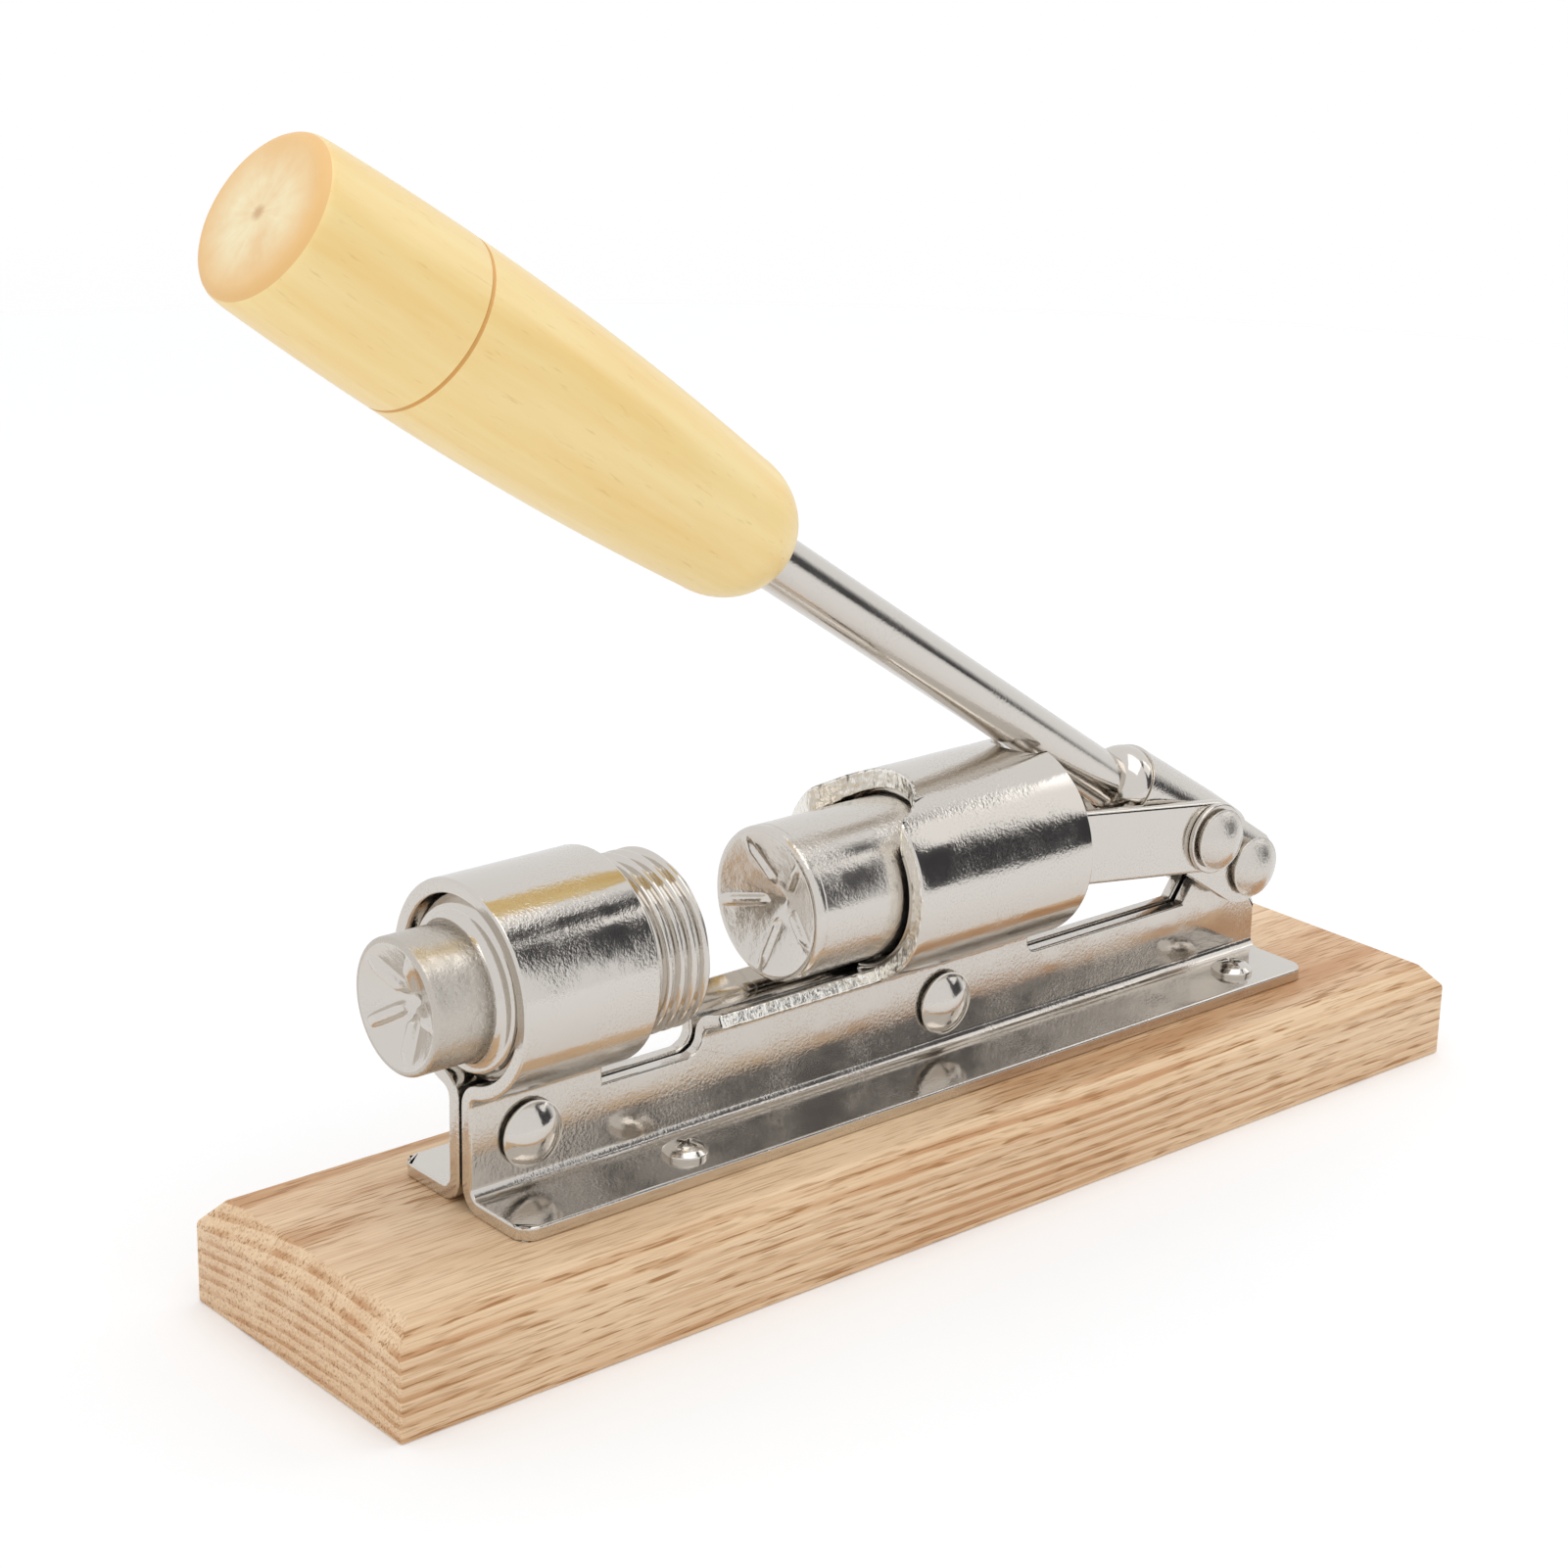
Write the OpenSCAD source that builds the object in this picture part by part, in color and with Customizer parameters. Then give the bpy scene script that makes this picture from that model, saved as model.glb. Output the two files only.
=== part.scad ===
// Desktop nutcracker: bent sheet frame, threaded anvil and lever-driven ram on a board
// Millimetres. +X runs from the anvil to the lever pivot, +Y is the far side, +Z is up.
// The origin is the centre of the board's underside.

/* [Base board] */
// board length along X
board_length = 250; // [200:1:300]
// board width along Y
board_width = 60; // [50:1:90]
// board thickness
board_height = 19; // [12:0.5:30]
// width of the bevel round the top
bevel_width = 4; // [0:0.5:8]
// height of the bevel round the top
bevel_height = 4.6; // [0:0.2:8]

/* [Sheet frame] */
// sheet thickness
sheet = 2.6; // [2:0.1:4]
// gap between the two webs
web_gap = 0.9; // [0.4:0.1:3]
// front end of the frame in X
frame_front = -93; // [-110:0.5:-80]
// frame length along X
frame_length = 190; // [150:1:220]
// half the width over both feet
foot_half_width = 17.6; // [14:0.2:24]
// inner radius of the foot and barrel bends
bend_r = 2; // [1:0.5:4]
// radius of the feet's corners in plan
foot_corner_r = 3.5; // [1:0.5:6]
// height of the barrel axis above the underside
barrel_z = 57.5; // [50:0.5:70]
// outer radius of both barrels
barrel_r = 18.5; // [15:0.1:24]
// length of the front barrel
front_barrel_length = 27; // [20:0.5:40]
// front end of the rear barrel ahead of the frame's rear end
rear_barrel_setback = 105.7; // [95:0.1:112]
// length of the rear barrel
rear_barrel_length = 42.2; // [30:0.2:60]
// height of the windows' lower edge
window_z = 35; // [30:0.5:38]
// length of the cradle ahead of the rear barrel
cradle_length = 35.7; // [20:0.1:42]
// angle of the cradle's lips from straight down
cradle_angle = 27; // [18:1:40]
// front corner of the ears ahead of the pivot rivet
ear_foot_lead = 13.6; // [10:0.1:17]
// radius of the ears' top
ear_r = 6.8; // [5:0.1:7.2]
// radius of the loading notch in the rear barrel's mouth
mouth_notch_r = 11.6; // [8:0.2:14]
// centre of the loading notch ahead of the mouth
mouth_notch_lead = 1.7; // [0:0.1:4]
// half width of the notch that the lever rod rests in
rest_notch_r = 5.4; // [5:0.1:8]
// centre of the rest notch ahead of the barrel's rear end
rest_notch_lead = 1.4; // [0:0.1:4]

/* [Lever and links] */
// pivot rivet ahead of the frame's rear end
pivot_setback = 7.6; // [6:0.1:14]
// pivot rivet height
pivot_z = 41.5; // [36:0.1:50]
// distance from the pivot rivet to the link rivet
crank = 18; // [12:0.1:24]
// slope of the line from the link rivet to the pivot rivet, in degrees
crank_slope = 33; // [25:0.5:45]
// slope of the lever when it is down, in degrees
lever_slope = 33.5; // [25:0.5:45]
// distance between the links' two holes
link_length = 44.2; // [38:0.1:52]
// half the height of a link
link_r = 7.1; // [6:0.1:9]
// thickness of a link
link_thick = 2.5; // [2:0.1:4]
// rod diameter
rod_d = 10; // [8:0.1:11]
// how far the rod's axis passes below the pivot rivet
rod_drop = 0.6; // [0:0.1:1]
// half the yoke's width
yoke_r = 8; // [7:0.1:10]
// height of the yoke's top above the pivot rivet's axis
yoke_top = 9; // [8:0.1:11]
// height of the yoke's top at its front end
yoke_front_top = 8.5; // [8:0.1:11]
// thickness of the yoke's sheet
yoke_sheet = 2.2; // [1.5:0.1:3]
// length of the yoke ahead of the pivot
yoke_length = 36.9; // [30:0.1:45]
// depth of the yoke's cheeks below the pivot rivet's axis
cheek_depth = 8.3; // [7:0.1:11]
// length of the round collar ahead of the yoke
collar_length = 4.7; // [3:0.1:10]
// bare rod from the collar to the handle
rod_bare = 100.2; // [60:0.2:120]

/* [Handle] */
// handle length
handle_length = 116.3; // [90:0.1:150]
// largest radius
handle_r = 15.1; // [13:0.1:18]
// distance from the end face to the largest radius
swell_from_end = 42; // [30:1:60]
// radius of the swell's long curve
swell_r = 700; // [500:10:1500]
// distance from the end face to the groove
groove_from_end = 32.7; // [20:0.1:60]
// length of the rounded nose that the rod enters
nose_length = 14; // [8:0.5:20]

/* [Anvil and ram] */
// reach of the anvil's small cup ahead of the frame
small_cup_reach = 12; // [6:0.1:17]
// radius of the small cup
small_cup_r = 11.5; // [9:0.1:13]
// depth of the threaded body's shoulder in the front barrel
shoulder_depth = 0.6; // [0:0.1:8]
// radius of the fillet between the small cup and the shoulder
neck_fillet = 1.8; // [0.5:0.1:2.5]
// lead-in chamfer at the start of the threaded body
lead_in = 2; // [1:0.1:3]
// reach of the anvil's working face behind the front barrel
anvil_reach = 13.3; // [6:0.1:18]
// reach of the ram's working face ahead of the rear barrel
ram_reach = 19.8; // [12:0.1:26]
// radius of the ram's head
ram_r = 13.9; // [11:0.1:15]
// chamfer round the ram's face
ram_chamfer = 1.2; // [0.4:0.1:2]
// length of the ram's head
ram_head_length = 30.4; // [24:0.2:36]
// length of the ram's guide behind the head
ram_guide_length = 12; // [8:0.5:18]
// depth of the conical cups
cup_depth = 5; // [3:0.5:9]
// ribs in each cup
cup_ribs = 5; // [3:1:8]
// width of a rib
rib_width = 1.7; // [1:0.1:2.5]
// height of a rib's inner end above the cone
rib_height = 1.4; // [0.6:0.1:2]
// turn of the small cup's ribs from straight sideways, in degrees
small_cup_turn = 39; // [0:1:71]
// turn of the ram's ribs from straight sideways, in degrees
ram_turn = 60; // [0:1:71]
// ram pin radius
ram_pin_r = 2.5; // [2:0.1:4]
// height of the ram pin above the barrel axis
ram_pin_rise = 1.8; // [0:0.1:3]
// radial clearance of the links' front holes round the ram pin
open_pivot_clearance = 2.3; // [1:0.1:3]

/* [Fasteners and fits] */
// rivet shank radius
rivet_r = 3; // [2:0.1:4]
// rivet head radius
rivet_head_r = 6.1; // [5:0.1:8]
// rivet head height
rivet_head_h = 2.6; // [1.5:0.1:4]
// height of the narrower neck under a rivet head
rivet_neck_h = 0.7; // [0.3:0.1:1.2]
// height of the frame rivets
frame_rivet_z = 30.4; // [27:0.1:34]
// front frame rivet behind the frame's front end
front_rivet_inset = 12; // [8:0.5:20]
// rear frame rivet ahead of the frame's rear end
rear_rivet_inset = 85; // [70:0.5:96]
// screw head radius
screw_head_r = 4; // [3:0.1:5]
// screw head height
screw_head_h = 2.2; // [1.6:0.1:3]
// screw shank radius
screw_r = 2; // [1.5:0.1:3]
// screw length in the board
screw_length = 14; // [8:1:17]
// front screws behind the frame's front end
front_screw_inset = 39; // [30:0.5:48]
// rear screws ahead of the frame's rear end
rear_screw_inset = 14; // [8:0.5:26]
// screw distance from the centre line
screw_y = 10.4; // [8:0.1:14]
// radial clearance of what slides or turns
running_fit = 0.08; // [0.02:0.01:0.1]
// radial clearance of what is pressed or riveted
press_gap = 0.02; // [0:0.01:0.05]
// gap between flat faces that pass each other
side_gap = 0.3; // [0.1:0.1:1]

/* [Hidden] */
$fn = 96;
wood_colour = [0.76, 0.58, 0.39];
handle_colour = [0.95, 0.81, 0.5];
plate_colour = [0.8, 0.79, 0.77];
cast_colour = [0.7, 0.68, 0.65];
far = 200;

frame_rear = frame_front + frame_length;
foot_top = board_height + sheet;
web_y = web_gap / 2 + sheet;
bore_r = barrel_r - sheet;
slide_r = bore_r - running_fit;
bend_y = web_y + bend_r;
top_bend_z = barrel_z - sqrt(pow(barrel_r + bend_r, 2) - pow(bend_y, 2));
foot_bend_z = foot_top + bend_r;
front_barrel_end = frame_front + front_barrel_length;
rear_barrel_front = frame_rear - rear_barrel_setback;
rear_barrel_end = rear_barrel_front + rear_barrel_length;
front_window_end = rear_barrel_front - cradle_length;
pivot_x = frame_rear - pivot_setback;
ear_foot_x = pivot_x - ear_foot_lead;
front_rivet_x = frame_front + front_rivet_inset;
rear_rivet_x = frame_rear - rear_rivet_inset;
front_screw_x = frame_front + front_screw_inset;
rear_screw_x = frame_rear - rear_screw_inset;
small_cup_x = frame_front - small_cup_reach;
anvil_shoulder_x = frame_front + shoulder_depth;
anvil_face_x = front_barrel_end + anvil_reach;
ram_face_x = rear_barrel_front - ram_reach;
web_rear_r = 4;
web_rear_z = window_z - 5.5;
window_corner_r = 3;
hole_gap = press_gap;

link_rivet_x = pivot_x - crank * cos(crank_slope);
link_rivet_z = pivot_z + crank * sin(crank_slope);
link_rise = barrel_z - link_rivet_z;
link_tilt = asin(link_rise / link_length);
link_hole_x = link_rivet_x - link_length * cos(link_tilt);
ram_pin_x = link_hole_x;
ram_pin_z = barrel_z + ram_pin_rise;
link_in = yoke_r + side_gap;
link_out = link_in + link_thick;
washer_thick = 1.1;
washer_r = 6.9;
spacer_r = 5.6;
neck_r = rivet_head_r - 1.3;
tongue_half = link_in - side_gap;
tongue_r = 6.6;

yoke_front = -yoke_length;
yoke_top_end = -5;
yoke_square_s = -14;
yoke_corner_r = 6.8;
yoke_end_r = (yoke_top + cheek_depth) / 2;
yoke_end_rise = (yoke_top - cheek_depth) / 2;
yoke_end_s = -2.2;
collar_rise = 0.3;
collar_lip = 0.2;
collar_r = yoke_r - 0.3;
collar_edge_r = collar_length - collar_lip;
collar_front = yoke_front - collar_length;
rod_end = yoke_front + 3.5;
neck_s = collar_front - rod_bare;
handle_end_s = neck_s - handle_length;
rod_in_handle = 70;
nose_s = neck_s - nose_length;
swell_s = handle_end_s + swell_from_end;
nose_r = swell(nose_s);
groove_s = handle_end_s + groove_from_end;
groove_depth = 0.7;
groove_flare = 0.8;
rim_r = 2.6;
edge = 0.8;

base_board();
frame();
frame_rivet(front_rivet_x);  // frame_rivet_front
frame_rivet(rear_rivet_x);  // frame_rivet_rear
foot_screw(front_screw_x, -screw_y);  // screw_near_front
foot_screw(rear_screw_x, -screw_y);  // screw_near_rear
foot_screw(front_screw_x, screw_y);  // screw_far_front
foot_screw(rear_screw_x, screw_y);  // screw_far_rear
pivot_rivet();
pivot_spacer(-1);  // pivot_spacer_near
pivot_spacer(1);  // pivot_spacer_far
anvil();
ram();
ram_pin();
link(-1);  // link_near
link(1);  // link_far
lever_yoke();
rod_collar();
lever_rod();
handle_grip();
link_rivet();
link_washer(-1);  // link_washer_near
link_washer(1);  // link_washer_far

// Cylinder along Y from y0 to y1
module rod_y(r, y0, y1, x, z) {
    translate([x, y1, z]) rotate([90, 0, 0]) cylinder(h = y1 - y0, r = r);
}

// Cylinder along Y between two distances from the centre line, on one side
module disc_y(r, near, out, side, x, z) {
    rod_y(r, side > 0 ? near : -out, side > 0 ? out : -near, x, z);
}

// Outline in Y and Z, drawn along X
module along_x(x0, x1) {
    translate([x0, 0, 0]) rotate([90, 0, 90]) linear_extrude(x1 - x0) children();
}

// Outline in X and Z, drawn along Y
module along_y(y0, y1) {
    translate([0, y1, 0]) rotate([90, 0, 0]) linear_extrude(y1 - y0) children();
}

// Outline of radius against X, turned round the barrel axis
module round_x() {
    translate([0, 0, barrel_z]) rotate([0, 90, 0]) rotate_extrude() children();
}

// Children in the lever's own axes: +Z runs from the handle to the pivot, -X is up
module on_lever() {
    translate([pivot_x, 0, pivot_z]) rotate([0, 90 + lever_slope, 0]) children();
}

// Domed rivet along Y; each head stands on a narrower neck
module rivet(x, z, head_y) {
    dome_r = (pow(rivet_head_r, 2) + pow(rivet_head_h, 2)) / (2 * rivet_head_h);
    rim_y = head_y + rivet_neck_h;
    rod_y(rivet_r, -head_y, head_y, x, z);
    for (side = [-1, 1]) {
        disc_y(neck_r, head_y, rim_y, side, x, z);
        intersection() {
            translate([x, side * (rim_y + rivet_head_h - dome_r), z]) sphere(r = dome_r);
            disc_y(rivet_head_r, rim_y, far, side, x, z);
        }
    }
}

// Board with a bevel round its top, drilled for the screws
module base_board() {
    color(wood_colour) difference() {
        intersection() {
            along_x(-board_length / 2, board_length / 2) bevelled_outline(board_width);
            along_y(-board_width / 2, board_width / 2) bevelled_outline(board_length);
        }
        for (x = [front_screw_x, rear_screw_x], y = [-screw_y, screw_y])
            translate([x, y, board_height - screw_length])
                cylinder(h = screw_length + 1, r = screw_r + hole_gap);
    }
}

module bevelled_outline(width) {
    half = width / 2;
    polygon([[-half, 0], [half, 0], [half, board_height - bevel_height],
        [half - bevel_width, board_height], [bevel_width - half, board_height],
        [-half, board_height - bevel_height]]);
}

// Section of the sheet: barrel, two webs and two feet in one bent strip
module sheet_section() {
    difference() {
        union() {
            translate([0, barrel_z]) circle(r = barrel_r);
            bend_block(board_height);
            translate([-foot_half_width, board_height]) square([2 * foot_half_width, sheet]);
        }
        translate([0, barrel_z]) circle(r = bore_r);
        translate([-web_gap / 2, 0]) square([web_gap, barrel_z]);
        difference() {
            bend_block(board_height - 1);
            translate([-far, foot_bend_z]) square([2 * far, top_bend_z - foot_bend_z]);
            bends(bend_r + sheet);
        }
        bends(bend_r);
        for (side = [-1, 1])
            translate([side * bend_y - bend_r, foot_bend_z]) square([2 * bend_r, top_bend_z - foot_bend_z]);
    }
}

// Block from the feet to the barrel axis that the sheet's four bends are cut from
module bend_block(bottom) {
    polygon([[-bend_y, bottom], [bend_y, bottom], [bend_y, top_bend_z], [0, barrel_z],
        [-bend_y, top_bend_z]]);
}

// Circles about the centres of the four bends
module bends(r) {
    for (side = [-1, 1], z = [foot_bend_z, top_bend_z]) translate([side * bend_y, z]) circle(r = r);
}

// One-piece frame: two barrels, cradle, webs, feet and the ears for the pivot rivet
module frame() {
    color(plate_colour) difference() {
        union() {
            difference() {
                along_x(frame_front, frame_rear) sheet_section();
                along_y(-far, far) front_window();
                along_y(-far, far) rear_window();
                along_x(front_barrel_end, rear_barrel_front) above_cradle();
            }
            for (side = [-1, 1])
                along_y(side > 0 ? web_gap / 2 : -web_y, side > 0 ? web_y : -web_gap / 2) ear();
        }
        translate([rear_barrel_front - mouth_notch_lead, 0, barrel_z]) cylinder(h = far, r = mouth_notch_r);
        translate([rear_barrel_end - rest_notch_lead, 0, barrel_z]) cylinder(h = far, r = rest_notch_r);
        translate([rear_barrel_end - rest_notch_lead, -rest_notch_r, barrel_z])
            cube([far, 2 * rest_notch_r, far]);
        for (x = [front_rivet_x, rear_rivet_x])
            rod_y(rivet_r + hole_gap, -far, far, x, frame_rivet_z);
        rod_y(rivet_r + hole_gap, -far, far, pivot_x, pivot_z);
        for (x = [front_screw_x, rear_screw_x], y = [-screw_y, screw_y])
            translate([x, y, 0]) cylinder(h = far, r = screw_r + hole_gap);
        for (end = [frame_front, frame_rear], side = [-1, 1]) foot_corner(end, side);
    }
}

// Window between the front barrel and the cradle, open upwards
module front_window() {
    end = front_window_end;
    difference() {
        translate([front_barrel_end, window_z]) square([end - front_barrel_end, far]);
        translate([end - window_corner_r, window_z]) difference() {
            square(window_corner_r);
            translate([0, window_corner_r]) circle(r = window_corner_r);
        }
    }
}

// Opening behind the rear barrel, over the webs and round their rear corner
module rear_window() {
    corner_x = frame_rear - web_rear_r;
    difference() {
        translate([rear_barrel_end, window_z]) square([far, far]);
        translate([rear_barrel_end, window_z]) difference() {
            square(bend_r);
            translate([bend_r, bend_r]) circle(r = bend_r);
        }
    }
    translate([corner_x, web_rear_z]) difference() {
        square(far);
        circle(r = web_rear_r);
    }
}

// Everything of the barrel section above the cradle's lips
module above_cradle() {
    low = far * cos(cradle_angle);
    wide = far * sin(cradle_angle);
    polygon([[0, barrel_z], [-wide, barrel_z - low], [-far, barrel_z - low], [-far, far], [far, far],
        [far, barrel_z - low], [wide, barrel_z - low]]);
}

// Ear outline: a round top on a foot whose front edge slopes
module ear() {
    top_x = pivot_x - 0.8;
    run = top_x - ear_foot_x;
    rise = pivot_z - window_z;
    reach = sqrt(pow(run, 2) + pow(rise, 2));
    turn = atan2(-rise, -run) - acos(ear_r / reach);
    translate([top_x, pivot_z]) circle(r = ear_r);
    polygon([[ear_foot_x, window_z - 1], [ear_foot_x, window_z],
        [top_x + ear_r * cos(turn), pivot_z + ear_r * sin(turn)], [top_x, pivot_z],
        [top_x + ear_r, pivot_z], [top_x + ear_r, web_rear_z + 1], [top_x, web_rear_z + 1]]);
}

// Square corner of a foot less its rounding
module foot_corner(end, side) {
    in_x = end < 0 ? foot_corner_r : -foot_corner_r;
    translate([end, side * foot_half_width, 0]) difference() {
        translate([min(in_x, 0) - (end < 0 ? 1 : 0), side > 0 ? -foot_corner_r : -1, 0])
            cube([foot_corner_r + 1, foot_corner_r + 1, foot_top + 1]);
        translate([in_x, -side * foot_corner_r, -1]) cylinder(h = far, r = foot_corner_r);
    }
}

module frame_rivet(x) {
    color(plate_colour) rivet(x, frame_rivet_z, web_y);
}

// Pan head screw with a cross recess, its shank in the board
module foot_screw(x, y) {
    rim_h = 0.7;
    crown = screw_head_h - rim_h;
    crown_r = (pow(screw_head_r, 2) + pow(crown, 2)) / (2 * crown);
    shank = sheet + screw_length - 1.5;
    color(plate_colour) translate([x, y, foot_top]) difference() {
        union() {
            translate([0, 0, -shank]) cylinder(h = shank, r = screw_r);
            cylinder(h = rim_h, r = screw_head_r);
            intersection() {
                translate([0, 0, screw_head_h - crown_r]) sphere(r = crown_r);
                translate([0, 0, rim_h]) cylinder(h = far, r = screw_head_r);
            }
        }
        for (turn = [20, 110])
            rotate([0, 0, turn]) translate([-2.1, -0.45, screw_head_h - 1.3]) cube([4.2, 0.9, 2]);
    }
}

module pivot_rivet() {
    color(plate_colour) rivet(pivot_x, pivot_z, yoke_r + side_gap / 3);
}

// Washer between an ear and a cheek of the yoke
module pivot_spacer(side) {
    out = yoke_r - yoke_sheet - side_gap / 3;
    color(plate_colour) difference() {
        disc_y(spacer_r, web_y, out, side, pivot_x, pivot_z);
        rod_y(rivet_r + hole_gap, -far, far, pivot_x, pivot_z);
    }
}

// Conical cup cut in a face at x, less its ribs; dir is 1 where it opens towards -X
module cup(x, dir, rim, turn) {
    inner = rim * 0.3;
    step = cup_depth * (1 - inner / rim) - rib_height;
    apex_step = step * rim / (rim - inner);
    translate([x, 0, barrel_z]) rotate([0, -90 * dir, 0]) difference() {
        translate([0, 0, -cup_depth]) cylinder(h = cup_depth + 1, r1 = 0, r2 = rim * (1 + 1 / cup_depth));
        for (i = [0 : cup_ribs - 1])
            rotate([0, 0, turn + i * 360 / cup_ribs]) intersection() {
                translate([0, 0, -cup_depth - 1]) linear_extrude(cup_depth + 1) union() {
                    translate([inner, -rib_width / 2]) square([rim - inner, rib_width]);
                    translate([inner, 0]) circle(r = rib_width / 2);
                }
                rotate([90, 0, 0]) linear_extrude(far, center = true)
                    polygon([[0, -cup_depth - 1], [0, -apex_step], [rim, 0], [rim, -cup_depth - 1]]);
            }
    }
}

// Anvil: threaded body, small cup outside, large cup towards the ram
module anvil() {
    color(cast_colour) difference() {
        round_x() {
            polygon([[0, small_cup_x], [small_cup_r - edge, small_cup_x], [small_cup_r, small_cup_x + edge],
                [small_cup_r, anvil_shoulder_x], [slide_r - lead_in, anvil_shoulder_x],
                [slide_r, anvil_shoulder_x + lead_in], [slide_r, anvil_face_x - edge],
                [slide_r - edge, anvil_face_x], [0, anvil_face_x]]);
            translate([small_cup_r - 0.01, anvil_shoulder_x - neck_fillet]) difference() {
                square([neck_fillet, neck_fillet + 0.01]);
                translate([neck_fillet, 0]) circle(r = neck_fillet);
            }
        }
        cup(small_cup_x, 1, small_cup_r - 1, small_cup_turn);
        cup(anvil_face_x, -1, ram_r - ram_chamfer, ram_turn);
    }
}

// Ram: cupped head, guide that runs in the rear barrel, and the tongue for its pin
module ram() {
    head_end = ram_face_x + ram_head_length;
    guide_end = head_end + ram_guide_length;
    color(cast_colour) difference() {
        union() {
            round_x() polygon([[0, ram_face_x], [ram_r - ram_chamfer, ram_face_x],
                [ram_r, ram_face_x + ram_chamfer], [ram_r, head_end], [slide_r - edge, head_end],
                [slide_r, head_end + edge], [slide_r, guide_end - edge], [slide_r - edge, guide_end],
                [0, guide_end]]);
            translate([guide_end - 1, -tongue_half, ram_pin_z - tongue_r])
                cube([ram_pin_x - guide_end + 1, 2 * tongue_half, 2 * tongue_r]);
            rod_y(tongue_r, -tongue_half, tongue_half, ram_pin_x, ram_pin_z);
        }
        cup(ram_face_x, 1, ram_r - ram_chamfer, ram_turn);
        rod_y(ram_pin_r + hole_gap, -far, far, ram_pin_x, ram_pin_z);
    }
}

module ram_pin() {
    color(plate_colour) rod_y(ram_pin_r, -link_out - 0.5, link_out + 0.5, ram_pin_x, ram_pin_z);
}

// Flat link from the link rivet to the ram pin
module link(side) {
    color(plate_colour) translate([link_rivet_x, 0, link_rivet_z]) rotate([0, link_tilt, 0])
        along_y(side > 0 ? link_in : -link_out, side > 0 ? link_out : -link_in) difference() {
            union() {
                circle(r = link_r);
                translate([-link_length, 0]) circle(r = link_r);
                translate([-link_length, -link_r]) square([link_length, 2 * link_r]);
            }
            circle(r = rivet_r + running_fit);
            translate([-link_length, 0]) circle(r = ram_pin_r + open_pivot_clearance);
        }
}

// Yoke outline across the rod: two cheeks under a top with rounded corners
module yoke_outline(half, top, corner, depth) {
    translate([corner - top, -half]) square([depth + top - corner, 2 * half]);
    translate([-top, corner - half]) square([depth + top, 2 * (half - corner) + 0.001]);
    for (side = [-1, 1]) translate([corner - top, side * (half - corner)]) circle(r = corner, $fn = 48);
}

// Solid of the yoke's outline: a round front that turns square behind
module yoke_solid(inset, depth, from, to) {
    half = yoke_r - inset;
    top = yoke_top - inset;
    corner = yoke_corner_r - inset;
    hull() {
        translate([0, 0, from]) linear_extrude(0.01) yoke_outline(half, yoke_front_top - inset, half, depth);
        translate([0, 0, yoke_square_s]) linear_extrude(0.01) yoke_outline(half, top, corner, depth);
    }
    translate([0, 0, yoke_square_s])
        linear_extrude(to - yoke_square_s) yoke_outline(half, top, corner, depth);
}

// Yoke: one bent sheet with a round front end and a rounded rear end
module lever_yoke() {
    color(plate_colour) difference() {
        on_lever() difference() {
            intersection() {
                yoke_solid(0, cheek_depth, yoke_front, yoke_r + yoke_end_r);
                union() {
                    translate([-far, -far, -far]) cube([2 * far, 2 * far, far + yoke_end_s]);
                    translate([-yoke_end_rise, far, yoke_end_s])
                        rotate([90, 0, 0]) cylinder(h = 2 * far, r = yoke_end_r);
                }
            }
            yoke_solid(yoke_sheet, far, yoke_front - 1, far);
            translate([-far, yoke_sheet - yoke_r, yoke_top_end])
                cube([2 * far, 2 * (yoke_r - yoke_sheet), far]);
        }
        rod_y(rivet_r + running_fit, -far, far, pivot_x, pivot_z);
        rod_y(rivet_r + hole_gap, -far, far, link_rivet_x, link_rivet_z);
    }
}

// Round collar on the rod, against the yoke's front end
module rod_collar() {
    color(plate_colour) on_lever() difference() {
        translate([-collar_rise, 0, 0]) rotate_extrude() intersection() {
            union() {
                translate([collar_r - collar_edge_r, yoke_front - collar_lip]) circle(r = collar_edge_r);
                translate([0, collar_front]) square([collar_r - collar_edge_r, collar_length]);
                translate([0, yoke_front - collar_lip]) square([collar_r, collar_lip]);
            }
            translate([0, collar_front]) square([collar_r, collar_length]);
        }
        translate([rod_drop, 0, rod_end - far]) cylinder(h = far, r = rod_d / 2 + press_gap);
    }
}

// Straight rod from the handle's bore through the collar into the yoke
module lever_rod() {
    start = neck_s - rod_in_handle;
    color(plate_colour) on_lever() translate([rod_drop, 0, start])
        cylinder(h = rod_end - start, r = rod_d / 2);
}

// Radius of the handle's long curve at a distance s along the lever
function swell(s) = handle_r - swell_r + sqrt(pow(swell_r, 2) - pow(s - swell_s, 2));

// Turned handle: flat end with a rounded rim, groove, long swell and a round nose
module handle_grip() {
    end_r = swell(handle_end_s + rim_r);
    color(handle_colour) on_lever() difference() {
        rotate_extrude() difference() {
            union() {
                intersection() {
                    translate([handle_r - swell_r, swell_s]) circle(r = swell_r, $fn = 1440);
                    translate([0, handle_end_s + rim_r]) square([far, nose_s - handle_end_s - rim_r]);
                }
                translate([end_r - rim_r, handle_end_s + rim_r]) circle(r = rim_r, $fn = 32);
                translate([0, handle_end_s]) square([end_r - rim_r, rim_r + 1]);
                intersection() {
                    translate([0, nose_s]) scale([nose_r / nose_length, 1]) circle(r = nose_length);
                    translate([0, nose_s - 0.01]) square([far, far]);
                }
            }
            polygon([[swell(groove_s) - groove_depth, groove_s], [far, groove_s - far * groove_flare],
                [far, groove_s + far * groove_flare]]);
        }
        translate([rod_drop, 0, neck_s - rod_in_handle]) cylinder(h = far, r = rod_d / 2 + press_gap);
    }
}

// Rivet through both links and both cheeks
module link_rivet() {
    color(plate_colour) rivet(link_rivet_x, link_rivet_z, link_out + side_gap / 3 + washer_thick);
}

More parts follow.
